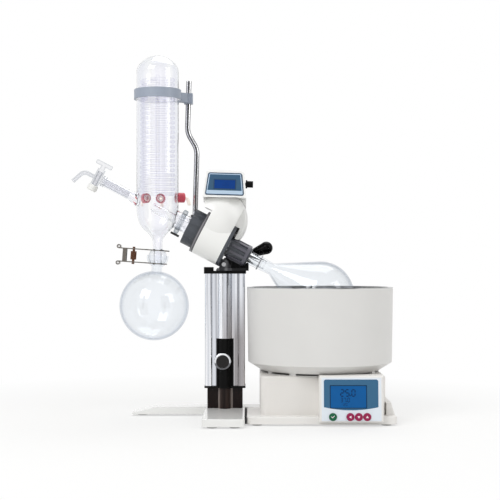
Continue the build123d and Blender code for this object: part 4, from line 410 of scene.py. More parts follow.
def clamp_coat():
    """Slate blue moulding, pale inside the ring where it grips the glass, with a painted glow there."""
    material = grainy("slate blue clamp", linear("#98a1b0"), 0.4, 0.8, 0.04)
    tree = material.node_tree
    coords = add_node(tree, "TexCoord").outputs["Object"]
    centred = add_node(tree, "VectorMath", {0: coords, 1: (CONDENSER_X * MM, CONDENSER_Y * MM, 0)},
                       operation="SUBTRACT")
    flat = add_node(tree, "VectorMath", {0: centred.outputs["Vector"], 1: (1, 1, 0)},
                    operation="MULTIPLY")
    radius = add_node(tree, "VectorMath", {0: flat.outputs["Vector"]}, operation="LENGTH")
    inside = add_node(tree, "Math", {0: radius.outputs["Value"], 1: RING_INSIDE_RADIUS * MM},
                      operation="LESS_THAN")
    # Painted glow inside the ring lifts the shade there
    glow = add_node(tree, "Math", {0: inside.outputs[0], 1: PAINTED_INSIDE_GLOW}, operation="MULTIPLY")
    lay_over(material, inside.outputs[0], linear("#f3f3f4"))
    connect(tree, principled(material), {"Emission Color": linear("#eeeef2"),
                                         "Emission Strength": glow.outputs[0]})
    return material


def lit(name, colour, glow):
    """Back-lit display: a dark sheet that gives its own light, uneven in broad soft patches."""
    material, tree, shader, coords = start_material(name)
    drift = add_node(tree, "TexNoise", {"Vector": coords, "Scale": per_mm(18), "Detail": 1.0})
    tone = add_node(tree, "Mix", {"Factor": drift.outputs["Fac"], "A": darker(colour, 0.8),
                                  "B": colour}, data_type="RGBA")
    connect(tree, shader, {"Emission Color": tone.outputs["Result"], "Emission Strength": glow,
                           "Base Color": darker(colour, 0.2), "Roughness": 0.18, "Specular IOR Level": 0.15})
    return material


PALE_PRINT = linear("#e3eaf2")
# Limits of the printed field on the control box, in millimetres on the control face
BOX_PRINT_X, BOX_PRINT_Y, BOX_PRINT_Z = (4, 110.5), (6, 83), (-1, 1)


def box_coat():
    """Moulded control box in off-white, with the pale printed field round its panel and keys."""
    material = grainy("off-white moulded box", linear("#eceae7"), 0.4, 0.8, 0.03, 0.97)
    tree = material.node_tree
    local = on_face(tree, CONTROL_FACE)
    across = between(tree, local["X"], BOX_PRINT_X)
    up = between(tree, local["Y"], BOX_PRINT_Y)
    front = between(tree, local["Z"], BOX_PRINT_Z)
    both = add_node(tree, "Math", {0: across, 1: up}, operation="MULTIPLY")
    field = add_node(tree, "Math", {0: both.outputs[0], 1: front}, operation="MULTIPLY")
    lay_over(material, field.outputs[0], PALE_PRINT)
    return material


# Lower edge of the teal field in millimetres: its middle, half its width, its lowest height and its bow
TEAL_MIDDLE, TEAL_HALF = 56.5, 48.5
TEAL_LOW, TEAL_BOW = 25.3, 5.5


def bath_overlay(teal):
    """Printed film: teal field whose lower edge bows down in the middle, pale below it."""
    material = grainy("bath overlay film", teal, 0.35, 1.2, 0.01, specular=0.2)
    tree = material.node_tree
    local = on_face(tree, CONTROL_FACE)
    aside = add_node(tree, "Math", {0: local["X"], 1: TEAL_MIDDLE * MM}, operation="SUBTRACT")
    share = add_node(tree, "Math", {0: aside.outputs[0], 1: TEAL_HALF * MM}, operation="DIVIDE")
    square = add_node(tree, "Math", {0: share.outputs[0], 1: share.outputs[0]}, operation="MULTIPLY")
    edge = add_node(tree, "Math", {0: square.outputs[0], 1: TEAL_BOW * MM, 2: TEAL_LOW * MM},
                    operation="MULTIPLY_ADD")
    below = add_node(tree, "Math", {0: local["Y"], 1: edge.outputs[0]}, operation="LESS_THAN")
    lay_over(material, below.outputs[0], PALE_PRINT)
    return material


def dress(material, *names):
    """Gives solids of the frame their finish."""
    for name in names:
        slots = NODES[name].data.materials
        slots.clear()
        slots.append(material)


def to_object(name, mesh, material):
    """Turns a bmesh into an object of the scene."""
    data = bpy.data.meshes.new(name)
    mesh.to_mesh(data)
    mesh.free()
    data.materials.append(material)
    made = bpy.data.objects.new(name, data)
    bpy.context.scene.collection.objects.link(made)
    return made


def piece(name, mesh, to_place, material, body):
    """Finishes a bmesh as a named piece that rides on a body."""
    bmesh.ops.recalc_face_normals(mesh, faces=mesh.faces)
    mesh.transform(to_place)
    made = to_object(name, mesh, material)
    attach(made, body)


def rectangle(left, foot, right, top):
    """Corners of an upright rectangle."""
    return [(left, foot), (right, foot), (right, top), (left, top)]


def flat_face(mesh, corners, height, rounding, segments):
    """Adds a flat face at a height, its corners rounded where a rounding is given."""
    face = mesh.faces.new([mesh.verts.new((x * MM, y * MM, height * MM)) for x, y in corners])
    if rounding:
        bmesh.ops.bevel(mesh, geom=face.verts[:], offset=rounding * MM, offset_type="OFFSET",
                        segments=segments, profile=0.5, affect="VERTICES", material=-1)
        face = mesh.faces[:][-1]
    return face


def lift(mesh, faces, height):
    """Raises faces into a closed solid, in millimetres along Z."""
    raised = bmesh.ops.extrude_face_region(mesh, geom=faces, use_keep_orig=True)
    lifted = [item for item in raised["geom"] if isinstance(item, bmesh.types.BMVert)]
    bmesh.ops.translate(mesh, verts=lifted, vec=(0, 0, height * MM))


def plate(mesh, corners, low, high, rounding=0.0, segments=4):
    """Adds a flat plate with given corners between two heights, its upright edges rounded."""
    face = flat_face(mesh, corners, low, rounding, segments)
    lift(mesh, [face], high - low)


def ring_plate(mesh, corners, width, low, high, rounding):
    """Adds a flat frame of even width inside given corners, between two heights."""
    face = flat_face(mesh, corners, low, rounding, 6)
    rim = bmesh.ops.inset_region(mesh, faces=[face], thickness=width * MM, use_boundary=True,
                                 use_even_offset=True)["faces"]
    bmesh.ops.delete(mesh, geom=[face], context="FACES")
    lift(mesh, rim, high - low)


def turned(mesh, outline, steps=64):
    """Adds a closed outline of radius and height, in millimetres, turned about Z."""
    points = [mesh.verts.new((radius * MM, 0, height * MM)) for radius, height in outline]
    edges = [mesh.edges.new(pair) for pair in zip(points, points[1:] + points[:1])]
    bmesh.ops.spin(mesh, geom=points + edges, cent=(0, 0, 0), axis=(0, 0, 1), angle=2 * math.pi, steps=steps,
                   use_merge=True)
    bmesh.ops.remove_doubles(mesh, verts=mesh.verts, dist=0.001 * MM)


def hoop(inner, outer, low, high, across, along=1.0):
    """Outline of a hoop whose outer edges are cut off, by so much across and along its axis."""
    return [(inner, low), (outer - across, low), (outer, low + along), (outer, high - along),
            (outer - across, high), (inner, high)]


def around(mesh, count, make):
    """Adds a feature made about +X, copied evenly about Z."""
    for index in range(count):
        start = len(mesh.verts)
        make(mesh)
        mesh.verts.ensure_lookup_table()
        bmesh.ops.rotate(mesh, verts=mesh.verts[start:], cent=(0, 0, 0),
                         matrix=Matrix.Rotation(2 * math.pi * index / count, 3, "Z"))


def bevelled_bar(mesh, low, high, bevel):
    """Adds a bar between two corners in millimetres, with bevelled edges."""
    made = bmesh.ops.create_cube(mesh, size=1.0)["verts"]
    size = [(b - a) * MM for a, b in zip(low, high)]
    middle = [(a + b) / 2 * MM for a, b in zip(low, high)]
    bmesh.ops.scale(mesh, verts=made, vec=size)
    bmesh.ops.translate(mesh, verts=made, vec=middle)
    edges = list({edge for vert in made for edge in vert.link_edges})
    bmesh.ops.bevel(mesh, geom=edges, offset=bevel * MM, offset_type="OFFSET", segments=2, profile=0.5,
                    affect="EDGES", clamp_overlap=True, material=-1)


# Segments of a digit: centre across, centre up, and whether it stands upright
SEGMENTS = {"a": (0, 1, False), "b": (0.5, 0.5, True), "c": (0.5, -0.5, True), "d": (0, -1, False),
            "e": (-0.5, -0.5, True), "f": (-0.5, 0.5, True), "g": (0, 0, False)}
DIGITS = {"0": "abcdef", "1": "bc", "2": "abdeg", "3": "abcdg", "4": "bcfg", "5": "acdfg", "6": "acdefg",
          "7": "abc", "8": "abcdefg", "9": "abcdfg"}
# Shares of a digit's height: a bar's width and the step to the next digit
BAR_SHARE, STEP_SHARE = 0.16, 0.78
# Shares of a bar's width: what its ends leave free, and shares of half its width: its rounding
BAR_FREE, BAR_ROUNDING = 0.4, 0.6
# Print stands between these heights over its face, in millimetres
INK_LOW, INK_HIGH = 0.02, 0.12


def number(mesh, text, x, y, height, low, high):
    """Adds a number in seven segments, from its left end, with bevelled bars."""
    half = height / 2
    bar = height * BAR_SHARE
    wide = bar / 2
    long_half = half / 2 - bar * BAR_FREE
    for sign in text:
        if sign == ".":
            plate(mesh, rectangle(x - bar, y - half, x, y - half + bar), low, high)
            x += bar
            continue
        for name in DIGITS[sign]:
            across, up, upright = SEGMENTS[name]
            centre_x = x + half / 2 + across * half
            centre_y = y + up * half
            side, rise = (wide, long_half) if upright else (long_half, wide)
            bar_corners = rectangle(centre_x - side, centre_y - rise, centre_x + side, centre_y + rise)
            plate(mesh, bar_corners, low, high, rounding=wide * BAR_ROUNDING, segments=1)
        x += height * STEP_SHARE


class EvaporatorFinish(bpy.types.PropertyGroup):
    """Colours and sizes that a user would change."""

    bath_coat: bpy.props.FloatVectorProperty(
        name="Bath coat", description="Powder coat of the bath's bowl", subtype="COLOR", size=4,
        default=linear("#e0dfdd"))
    shell_white: bpy.props.FloatVectorProperty(
        name="Shell white", description="Moulded shell of the head and enamel of the base", subtype="COLOR",
        size=4, default=linear("#f0f0ee"))
    overlay_teal: bpy.props.FloatVectorProperty(
        name="Overlay", description="Printed film round the bath's display", subtype="COLOR", size=4,
        default=linear("#3d6a8c"))
    slate: bpy.props.FloatVectorProperty(
        name="Slate", description="Rear flange, union nut and flask collar", subtype="COLOR", size=4,
        default=linear("#43474e"))
    display_height: bpy.props.FloatProperty(
        name="Digit height", description="Height of the tall digits on the bath's display",
        subtype="DISTANCE", unit="LENGTH", default=11.5 * MM)


# Floor board: half its width, the distances between which it fades, and its own light near and far
FLOOR_HALF = 12.0
FADE_NEAR, FADE_FAR = 0.35, 0.85
GLOW_NEAR, GLOW_FAR = 0.55, 1.0
# Light of the white room on surfaces, as a share of what the eye sees of it
ROOM_FILL = 0.42
# Softboxes: name, place, width and power, all aimed at one point
LAMPS = (("key softbox", (-1.1, -1.5, 1.7), 1.2, 26.0), ("right softbox", (1.6, -0.9, 1.1), 1.0, 9.0),
         ("top softbox", (0.2, 0.6, 2.0), 1.4, 14.0))
LAMP_AIM = Vector((0, 0, 0.3))
# Dark flags beside the camera: name, place and width, all facing one point
FLAGS = (("right flag", (0.95, -1.15, 0.35), 0.9), ("left flag", (-0.95, -1.3, 0.35), 0.22))
FLAG_HEIGHT = 1.8
FLAG_AIM = Vector((0, 0, 0.35))
# Camera that looks along +Y, level
CAMERA_AT = (0.0343, -2.082, 0.287)
CAMERA_LENS, CAMERA_SENSOR, CAMERA_RISE = 79.2, 36.0, 0.032


def seen(tree):
    """1 for rays that come from the eye, through glass or from gloss, else 0."""
    path = add_node(tree, "LightPath").outputs
    through = add_node(tree, "Math", {0: path["Is Camera Ray"], 1: path["Is Transmission Ray"]},
                       operation="MAXIMUM")
    any_of_them = add_node(tree, "Math", {0: through.outputs[0], 1: path["Is Glossy Ray"]},
                           operation="MAXIMUM")
    return any_of_them.outputs[0]


def floor_board():
    """Pale matte board: it keeps the object's shadow, and its own light fades it into the white behind."""
    material = bpy.data.materials.new("pale matte board")
    tree = empty_tree(material)
    coords = add_node(tree, "TexCoord").outputs["Object"]
    away = add_node(tree, "VectorMath", {0: coords}, operation="LENGTH")
    fade = add_node(tree, "MapRange", {"Value": away.outputs["Value"], "From Min": FADE_NEAR,
                                       "From Max": FADE_FAR, "To Min": GLOW_NEAR, "To Max": GLOW_FAR})
    share = add_node(tree, "Math", {0: seen(tree), 1: fade.outputs["Result"]}, operation="MULTIPLY")
    board = add_node(tree, "BsdfDiffuse", {"Color": linear("#f4f4f2")})
    glow = add_node(tree, "Emission", {"Color": (1, 1, 1, 1), "Strength": 1.0})
    both = add_node(tree, "MixShader", {"Fac": share.outputs[0], 1: board.outputs[0],
                                        2: glow.outputs[0]})
    add_node(tree, "OutputMaterial", {"Surface": both.outputs[0]})
    return material


def white_room():
    """White sweep behind the object: full white to the eye, softer as light on surfaces."""
    world = bpy.data.worlds.new("white sweep")
    tree = empty_tree(world)
    level = add_node(tree, "MapRange", {"Value": seen(tree), "To Min": ROOM_FILL, "To Max": 1.0})
    back = add_node(tree, "Background", {"Color": (1, 1, 1, 1), "Strength": level.outputs["Result"]})
    add_node(tree, "OutputWorld", {"Surface": back.outputs[0]})
    return world


def flag_felt():
    """Dark felt of even tone."""
    material = bpy.data.materials.new("black felt")
    tree = empty_tree(material)
    felt = add_node(tree, "Emission", {"Color": linear("#3c3d40"), "Strength": 1.0})
    add_node(tree, "OutputMaterial", {"Surface": felt.outputs[0]})
    return material


class EVAPORATOR_OT_stage(bpy.types.Operator):
    """Pale floor, soft lights and the camera"""

    bl_idname = "evaporator.stage"
    bl_label = "Stage"

    def execute(self, context):
        scene = context.scene
        scene.view_settings.view_transform = "Standard"
        scene.world = white_room()
        mesh = bmesh.new()
        bmesh.ops.create_grid(mesh, x_segments=1, y_segments=1, size=FLOOR_HALF)
        floor = to_object("floor", mesh, floor_board())

        for name, at, size, power in LAMPS:
            light = bpy.data.lights.new(name, "AREA")
            light.size = size
            light.energy = power
            lamp = bpy.data.objects.new(name, light)
            lamp.location = at
            lamp.rotation_euler = (LAMP_AIM - Vector(at)).to_track_quat("-Z", "Y").to_euler()
            scene.collection.objects.link(lamp)

        # The flags are seen only in gloss and glass, as in a product photograph
        felt = flag_felt()
        for name, at, width in FLAGS:
            mesh = bmesh.new()
            bmesh.ops.create_grid(mesh, x_segments=1, y_segments=1, size=0.5)
            bmesh.ops.scale(mesh, verts=mesh.verts, vec=(width, FLAG_HEIGHT, 1.0))
            facing = (FLAG_AIM - Vector(at)).to_track_quat("Z", "Y").to_matrix().to_4x4()
            mesh.transform(Matrix.Translation(at) @ facing)
            flag = to_object(name, mesh, felt)
            flag.visible_camera = False
            flag.visible_diffuse = False
            flag.visible_shadow = False
            flag.visible_transmission = False

        view = bpy.data.cameras.new("photo view")
        view.lens = CAMERA_LENS
        view.sensor_width = CAMERA_SENSOR
        view.shift_y = CAMERA_RISE
        camera = bpy.data.objects.new("photo view", view)
        camera.location = CAMERA_AT
        camera.rotation_euler = (math.pi / 2, 0, 0)
        scene.collection.objects.link(camera)
        scene.camera = camera
        return {"FINISHED"}


# Corners and bevel in millimetres of a dark strip of painted shade, in the rubber finish, that fills the gap
# between the front foot and the tray
FOOT_GAP_SHADE = (25.2, -107.0, 3.2), (28.5, 20.0, 15.6), 0.6


class EVAPORATOR_OT_stand(bpy.types.Operator):
    """Base, feet, tray and mast finishes"""

    bl_idname = "evaporator.stand"
    bl_label = "Stand"

    def execute(self, context):
        finish = context.scene.evaporator_finish
        # Baked gloss enamel: bright white with soft, slightly wavy reflections
        dress(grainy("white gloss enamel", tuple(finish.shell_white), 0.16, 5.0, 0.02, 0.97), "stand_base")
        # Powder coat over steel: satin, with the faint orange peel that baking leaves
        dress(grainy("pale powder coat", linear("#f0eeeb"), 0.45, 0.9, 0.03), "bath_tray")
        # Moulded rubber: dull black, grey where it is rubbed
        rubber = grainy("moulded rubber", linear("#1b1b1c"), 0.8, 0.5, 0.05)
        dress(rubber, "seal_ring", "drive_belt")
        # Dark strip of painted shade in the gap between the front foot and the tray
        mesh = bmesh.new()
        bevelled_bar(mesh, *FOOT_GAP_SHADE)
        piece("foot_gap_shade_strip", mesh, Matrix.Identity(4), rubber, "root")
        dress(grainy("pale rubber feet", linear("#c2c2bf"), 0.7, 0.5, 0.05), "rubber_feet")
        # Baked brown-black enamel: nearly black, glossy, with a little waviness from the tube under it, and
        # painted highlights and shade in upright streaks
        dress(streaked_with_light("brown-black enamel", linear("#190d0b"), MAST_LIGHT_STREAKS, 0.14), "mast")
        # Turned steel: bright grey with fine lines
        dress(brushed("turned steel", linear("#b5b6b8"), 0.25, (1, 1, 0.05)), "mast_bolts",
              "gas_spring_cylinder", "gas_spring_rod", "spindle_bearings", "spindle", "motor_rotor",
              "drive_motor", "tilt_pin")
        return {"FINISHED"}


class EVAPORATOR_OT_column(bpy.types.Operator):
    """Sliding column, grip, release button and tilt parts"""

    bl_idname = "evaporator.column"
    bl_label = "Column"

    def execute(self, context):
        # Polished anodised extrusion: pale metal with die lines, and painted reflections and shade as
        # streaks along its length
        dress(column_metal(), "column_shell")
        # Moulded black nylon: soft sheen, fine spark texture
        dress(grainy("black nylon", linear("#080808"), 0.2, 0.7, 0.02, 0.8, specular=0.1), "column_cap",
              "lift_grip", "speed_knob", "power_inlet")
        # Polished phenolic ball and stem: deep black with one small hard highlight
        dress(grainy("black phenolic", linear("#040404"), 0.1, 6.0, 0.01, 0.8, specular=0.09), "tilt_lever")
        # Chrome plate: mirror bright with faint polishing haze, and a painted reflection, dark below and
        # bright above
        chrome = brushed("chrome plate", linear("#e4e6ea"), 0.08, (1, 1, 1), 8.0)
        dress(toned(chrome, RING_REFLECTION_TONES, "Z"), "button_bezel")
        # Gloss moulding: black with a clear highlight
        dress(grainy("black button", linear("#0e0b0b"), 0.15, 0.9, 0.02, 0.8, specular=0.3), "lift_button")
        # Sprayed dark paint on cast metal, black on one side: painted highlights as soft lines of light
        # along its edges, with painted shade between them
        dress(streaked_with_light("bracket paint", linear("#3c3c3f"), BRACKET_PAINT_AND_LIGHT, 0.35), "tilt_bracket")
        return {"FINISHED"}


class EVAPORATOR_OT_head(bpy.types.Operator):
    """Drive housing, console, flanges and nut"""

    bl_idname = "evaporator.head"
    bl_label = "Head"

    def execute(self, context):
        finish = context.scene.evaporator_finish
        # Moulded ABS: smooth satin white
        dress(grainy("white moulded shell", tuple(finish.shell_white), 0.3, 0.6, 0.015, 0.97),
              "drive_housing", "rear_cover", "console_shell")
        # Moulded nylon: dull slate with a fine grain
        dress(grainy("slate nylon", tuple(finish.slate), 0.4, 0.8, 0.05, 0.85), "rear_flange", "union_nut",
              "flask_collar")
        dress(flange_metal(), "front_flange")
        # Blackened steel: nearly black with a faint oily sheen
        dress(grainy("black oxide steel", linear("#161618"), 0.3, 0.5, 0.02), "head_screws")
        # Printed film: flat teal under a smooth matte face
        dress(grainy("printed overlay", linear("#375874"), 0.35, 1.2, 0.01, specular=0.2), "console_panel")
        # Back-lit liquid crystal: deep blue light of its own
        dress(lit("blue display", linear("#053f8c"), 0.75), "console_lcd")
        return {"FINISHED"}


class EVAPORATOR_OT_glass(bpy.types.Operator):
    """Condenser, flasks, duct, stopcock and their fittings"""

    bl_idname = "evaporator.glass"
    bl_label = "Glass"

    def execute(self, context):
        # Borosilicate glass: clear, its edges pale grey
        dress(glassy("borosilicate glass", linear("#fefefe"), linear("#d3d8dd")), "vapour_duct")
        # Blown bulbs with an even thin wall: almost white in the middle, a grey line at the edge
        dress(blown_bulb(), "evaporating_flask", "receiving_flask")
        dress(condenser_glass(), "condenser_jacket")
        # Drawn tube and ground barrel: clear, pale grey at the edges
        dress(thin_glass("coil glass", linear("#ffffff"), linear("#f4f4f9"), 0.012), "condenser_coil")
        dress(thin_glass("stopcock glass", linear("#fbfbfc"), linear("#d6d9dc"), 0.06), "stopcock_body",
              "stopcock_key")
        # Turned fluoropolymer: waxy white
        dress(grainy("white fluoropolymer", linear("#ededea"), 0.35, 0.8, 0.02), "stopcock_nut")
        # Translucent moulded caps and nozzles with a painted glow standing in for light coming through them,
        # so their hollow sides stay bright
        dress(glowing_plastic("red cap plastic", linear("#bd2431"), 0.3, linear("#cf6f82"), 0.3), "port_caps")
        dress(glowing_plastic("ivory nozzle plastic", linear("#e2dccb"), 0.35, linear("#efe6e4"), 0.5),
              "hose_nozzles")
        dress(polished_rod(), "support_rod")
        # Drawn spring wire: grey with a thin bright line
        dress(brushed("spring wire", linear("#8b8c90"), 0.16, (1, 1, 1), 1.0), "joint_clip")
        # Slate blue moulding with a painted glow inside the ring
        dress(clamp_coat(), "condenser_clamp", "clamp_screw")
        # Pressed stainless: dark mirror with fine lines
        dress(brushed("polished stainless", linear("#77726c"), 0.12, (0.2, 1, 1), 1.5), "joint_clamp")
        # Tarnished brass: brown with a dull shine
        dress(brushed("brown brass", linear("#7d5a48"), 0.25, (1, 1, 1), 0.8), "joint_clamp_screw")
        return {"FINISHED"}


# Ribs of the flask collar about the drive axis in millimetres, and the bead at their end
RIB_COUNT = 10
RIB_START, RIB_END = 64.0, 101.0
RIB_INNER, RIB_OUTER, RIB_HALF = 17.4, 20.9, 2.6
RIB_BEVEL = 0.7
BEAD_INNER, BEAD_OUTER, BEAD_LENGTH, BEAD_CUT = 17.6, 21.2, 7.0, 1.0
# Glass ring and black stop of the condenser branch, along the drive axis
BRANCH_START, BRANCH_END = -46.0, -38.0
BRANCH_INNER, BRANCH_OUTER, BRANCH_CUT = 17.2, 24.2, 1.2
BRANCH_STOP = (-28.6, -6.0, BRANCH_START - 4.0), (-24.3, 6.0, BRANCH_END + 5.0), 0.9
# Steel rim of the bath: its axis, and its outline of radius and height
BATH_X, BATH_Y = 166.84, 8.0
BATH_RIM = ((134.6, 246.02), (137.5, 246.02), (137.9, 246.4), (137.5, 246.9), (134.6, 246.9))


def collar_rib(mesh):
    """Adds one rib of the flask collar, about +X."""
    bevelled_bar(mesh, (RIB_INNER, -RIB_HALF, RIB_START), (RIB_OUTER, RIB_HALF, RIB_END), RIB_BEVEL)


class EVAPORATOR_OT_fittings(bpy.types.Operator):
    """Ribs of the flask collar, the ring and stop of the condenser branch, and the bath's steel rim"""

    bl_idname = "evaporator.fittings"
    bl_label = "Fittings"

    def execute(self, context):
        # Moulded nylon with shiny ribs, lighter than the collar's slate as a painted highlight
        highlighted = grainy("worn slate nylon", linear("#5d5c66"), 0.28, 0.8, 0.03, 0.75)
        mesh = bmesh.new()
        around(mesh, RIB_COUNT, collar_rib)
        turned(mesh, hoop(BEAD_INNER, BEAD_OUTER, RIB_END - BEAD_LENGTH, RIB_END, BEAD_CUT))
        piece("collar_ribs", mesh, DRIVE_AXIS, highlighted, "rotating_flask")
        # Ground glass: clear with a firm grey edge
        ground = thin_glass("branch ring glass", linear("#f7f8f9"), linear("#b4babf"), 0.06)
        mesh = bmesh.new()
        turned(mesh, hoop(BRANCH_INNER, BRANCH_OUTER, BRANCH_START, BRANCH_END, BRANCH_CUT))
        piece("branch_ring", mesh, DRIVE_AXIS, ground, "head")
        # Moulded nylon: dull black
        black = grainy("black nylon stop", linear("#0b0b0c"), 0.35, 0.7, 0.02)
        mesh = bmesh.new()
        bevelled_bar(mesh, *BRANCH_STOP)
        piece("branch_stop", mesh, DRIVE_AXIS, black, "head")
        # Drawn stainless: bright grey with lines round the rim
        steel = brushed("drawn stainless rim", linear("#c3c4c4"), 0.18, (1, 1, 0.1), 1.5)
        mesh = bmesh.new()
        turned(mesh, BATH_RIM, 128)
        bath_axis = Matrix.Translation((BATH_X * MM, BATH_Y * MM, 0))
        piece("bath_rim", mesh, bath_axis, steel, "root")
        return {"FINISHED"}


class EVAPORATOR_OT_bath(bpy.types.Operator):
    """Bath bowl, pan, housing, control box and keys"""

    bl_idname = "evaporator.bath"
    bl_label = "Bath"

    def execute(self, context):
        finish = context.scene.evaporator_finish
        # Powder coat over steel: satin warm grey with faint orange peel
        dress(grainy("warm grey powder coat", tuple(finish.bath_coat), 0.45, 0.9, 0.03), "bath_bowl")
        # Moulded housing and box: satin off-white
        dress(grainy("pale moulded housing", linear("#eae7e3"), 0.45, 0.9, 0.03), "bath_housing")
        dress(box_coat(), "control_box")
        # Drawn stainless and a dull heater plate under it
        dress(brushed("drawn stainless pan", linear("#c3c4c4"), 0.22, (1, 1, 0.1), 1.5), "bath_pan")
        dress(brushed("heater plate", linear("#8c8a86"), 0.4, (1, 1, 1), 2.0), "heater")
        dress(bath_overlay(tuple(finish.overlay_teal)), "control_panel")
        # Back-lit liquid crystal: mid blue light of its own
        dress(lit("bath display", linear("#085b9d"), 0.8), "bath_lcd")
        # Moulded silicone keys: matte, deep green and crimson
        dress(grainy("green key", linear("#1c6243"), 0.35, 0.8, 0.03, specular=0.25), "start_key")
        dress(grainy("crimson key", linear("#9a2450"), 0.35, 0.8, 0.03, specular=0.25), "left_key",
              "down_key", "up_key")
        return {"FINISHED"}


# Numbers on the bath's display: text, left end and middle in millimetres, and share of the tall height
BATH_NUMBERS = (("25.0", 38, 56, 1.0), ("37.0", 38, 43.5, 0.62), ("120", 40, 35.5, 0.4))
# Dark ring of painted shadow round the bath's recessed display, in millimetres on the control face
DISPLAY_SHADE_RING = rectangle(18.6, 28.4, 84.9, 69.9)
SURROUND_WIDTH, SURROUND_HIGH, SURROUND_ROUNDING = 1.5, 0.3, 0.6


class EVAPORATOR_OT_bath_numbers(bpy.types.Operator):
    """Numbers of the bath's display, and the painted shadow round it"""

    bl_idname = "evaporator.bath_numbers"
    bl_label = "Bath numbers"

    def execute(self, context):
        tall = context.scene.evaporator_finish.display_height / MM
        # Dark segments of a liquid crystal: flat deep blue
        ink = grainy("display ink", linear("#06274d"), 0.4, 1.0, 0.01, specular=0.1)
        mesh = bmesh.new()
        for text, x, y, share in BATH_NUMBERS:
            number(mesh, text, x, y, tall * share, INK_LOW, INK_HIGH)
        piece("bath_numbers", mesh, CONTROL_FACE, ink, "root")
        # Painted shadow round the recessed window: flat navy
        shade = grainy("painted display shade", linear("#123450"), 0.4, 1.0, 0.01, specular=0.15)
        mesh = bmesh.new()
        ring_plate(mesh, DISPLAY_SHADE_RING, SURROUND_WIDTH, INK_LOW, SURROUND_HIGH, SURROUND_ROUNDING)
        piece("bath_display_shade", mesh, CONTROL_FACE, shade, "root")
        return {"FINISHED"}


# Printed field of the console panel in millimetres: half widths and heights of its foot and its top
FIELD_FOOT_HALF, FIELD_TOP_HALF = 36.4, 31.6
FIELD_FOOT, FIELD_TOP = 4.2, 48.2
# Print of the console: widths of its lines, and the height that most of it starts from
OUTLINE_WIDTH, FRAME_WIDTH, BEZEL_WIDTH = 1.9, 1.6, 1.7
PRINT_LOW = 0.82
CONSOLE_STRIP = ((-33.6, 6.6), (33.6, 6.6), (32.8, 13.2), (-32.8, 13.2))
CONSOLE_BEZEL = rectangle(-21, 15.4, 21, 35.6)
CONSOLE_NUMBER = ("120", -7, 25.5, 7.0, 0.84, 0.94)


def trapezoid(inset):
    """Corners of the console panel's printed field, inset by an even margin."""
    low = FIELD_FOOT_HALF - inset
    high = FIELD_TOP_HALF - inset
    foot = FIELD_FOOT + inset
    top = FIELD_TOP - inset
    return [(-low, foot), (low, foot), (high, top), (-high, top)]


class EVAPORATOR_OT_console_print(bpy.types.Operator):
    """Printed frame, strip and numbers of the console panel"""

    bl_idname = "evaporator.console_print"
    bl_label = "Console print"

    def execute(self, context):
        # Screen print on film: flat colour with a soft sheen
        navy = grainy("navy print", linear("#24405c"), 0.35, 1.0, 0.01, specular=0.2)
        pale = grainy("pale print", linear("#b6cbdf"), 0.35, 1.0, 0.01, specular=0.2)
        mesh = bmesh.new()
        ring_plate(mesh, trapezoid(0), OUTLINE_WIDTH, low=-0.1, high=1.02, rounding=3.9)
        piece("console_outline", mesh, CONSOLE_FACE, navy, "head")
        mesh = bmesh.new()
        ring_plate(mesh, trapezoid(OUTLINE_WIDTH), FRAME_WIDTH, low=PRINT_LOW, high=1.0, rounding=2.6)
        piece("console_frame", mesh, CONSOLE_FACE, pale, "head")
        mesh = bmesh.new()
        plate(mesh, CONSOLE_STRIP, low=PRINT_LOW, high=0.98, rounding=0.8)
        piece("console_strip", mesh, CONSOLE_FACE, pale, "head")
        mesh = bmesh.new()
        ring_plate(mesh, CONSOLE_BEZEL, BEZEL_WIDTH, low=PRINT_LOW, high=1.1, rounding=1.0)
        piece("console_bezel", mesh, CONSOLE_FACE, navy, "head")
        # Dark segments of a liquid crystal: flat deep blue
        ink = grainy("console ink", linear("#0a3474"), 0.3, 1.0, 0.01, specular=0.1)
        mesh = bmesh.new()
        number(mesh, *CONSOLE_NUMBER)
        piece("console_numbers", mesh, CONSOLE_FACE, ink, "head")
        return {"FINISHED"}


# Key marks: name, place across the control face in millimetres, body, slot, and the way an arrow points
KEY_MARKS = (("start_mark", 24, "start_button", "green_key", None),
             ("left_mark", 55, "left_button", "crimson_keys", 90),
             ("down_mark", 70, "down_button", "crimson_keys", 180),
             ("up_mark", 85, "up_button", "crimson_keys", 0))
KEY_ROW, KEY_PROUD = 13.4, 2.0
# Bars of the tick: length, lean in degrees and place, and half their width and their rounding
TICK_BARS = ((3.4, 45, (-1.9, -0.4)), (5.6, -45, (0.9, 0.4)))
TICK_HALF, TICK_ROUNDING = 0.55, 0.2
ARROW = ((-2.6, -1.7), (2.6, -1.7), (0, 2.6))
ARROW_ROUNDING = 0.5


def tick(mesh):
    """Adds a plain tick: a short and a long bar that meet."""
    for length, lean, (across, up) in TICK_BARS:
        start = len(mesh.verts)
        half = length / 2
        plate(mesh, rectangle(-half, -TICK_HALF, half, TICK_HALF), INK_LOW, INK_HIGH, TICK_ROUNDING)
        mesh.verts.ensure_lookup_table()
        turn = Matrix.Rotation(math.radians(-lean), 4, "Z")
        bmesh.ops.transform(mesh, verts=mesh.verts[start:],
                            matrix=Matrix.Translation((across * MM, up * MM, 0)) @ turn)


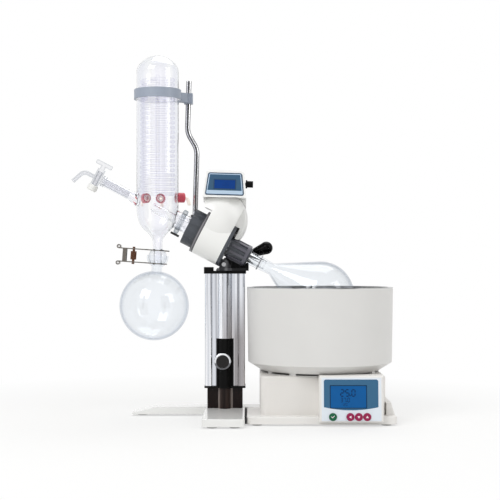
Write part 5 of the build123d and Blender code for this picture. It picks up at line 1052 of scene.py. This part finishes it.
def arrow(mesh, turn):
    """Adds a plain triangle that points up, turned by so many degrees."""
    plate(mesh, ARROW, INK_LOW, INK_HIGH, ARROW_ROUNDING)
    bmesh.ops.rotate(mesh, verts=mesh.verts, matrix=Matrix.Rotation(math.radians(turn), 3, "Z"))


class EVAPORATOR_OT_key_marks(bpy.types.Operator):
    """Printed marks on the four keys"""

    bl_idname = "evaporator.key_marks"
    bl_label = "Key marks"

    def execute(self, context):
        # Screen print: flat white with a hint of the key's colour
        print_white = grainy("white key print", linear("#f3e6ea"), 0.4, 1.0, 0.01)
        for name, across, body, slot, turn in KEY_MARKS:
            mesh = bmesh.new()
            if turn is None:
                tick(mesh)
            else:
                arrow(mesh, turn)
            at = CONTROL_FACE @ Matrix.Translation((across * MM, KEY_ROW * MM, KEY_PROUD * MM))
            piece(name, mesh, at, print_white, body)
        return {"FINISHED"}


class EVAPORATOR_PT_panel(bpy.types.Panel):
    """Lists the steps that dress the evaporator"""

    bl_idname = "EVAPORATOR_PT_panel"
    bl_label = "Evaporator"
    bl_space_type = "VIEW_3D"
    bl_region_type = "UI"
    bl_category = "Evaporator"

    def draw(self, context):
        finish = context.scene.evaporator_finish
        for name in EvaporatorFinish.__annotations__:
            self.layout.prop(finish, name)
        for step in STEPS:
            self.layout.operator(step.bl_idname)


STEPS = (EVAPORATOR_OT_stage, EVAPORATOR_OT_stand, EVAPORATOR_OT_column, EVAPORATOR_OT_head,
         EVAPORATOR_OT_glass, EVAPORATOR_OT_fittings, EVAPORATOR_OT_bath, EVAPORATOR_OT_bath_numbers,
         EVAPORATOR_OT_console_print, EVAPORATOR_OT_key_marks)
CLASSES = (EvaporatorFinish,) + STEPS + (EVAPORATOR_PT_panel,)


def register():
    for item in CLASSES:
        bpy.utils.register_class(item)
    bpy.types.Scene.evaporator_finish = bpy.props.PointerProperty(type=EvaporatorFinish)


def unregister():
    del bpy.types.Scene.evaporator_finish
    for item in reversed(CLASSES):
        bpy.utils.unregister_class(item)


def main():
    register()
    for step in STEPS:
        group, name = step.bl_idname.split(".")
        getattr(getattr(bpy.ops, group), name)()


if __name__ == "__main__":
    main()
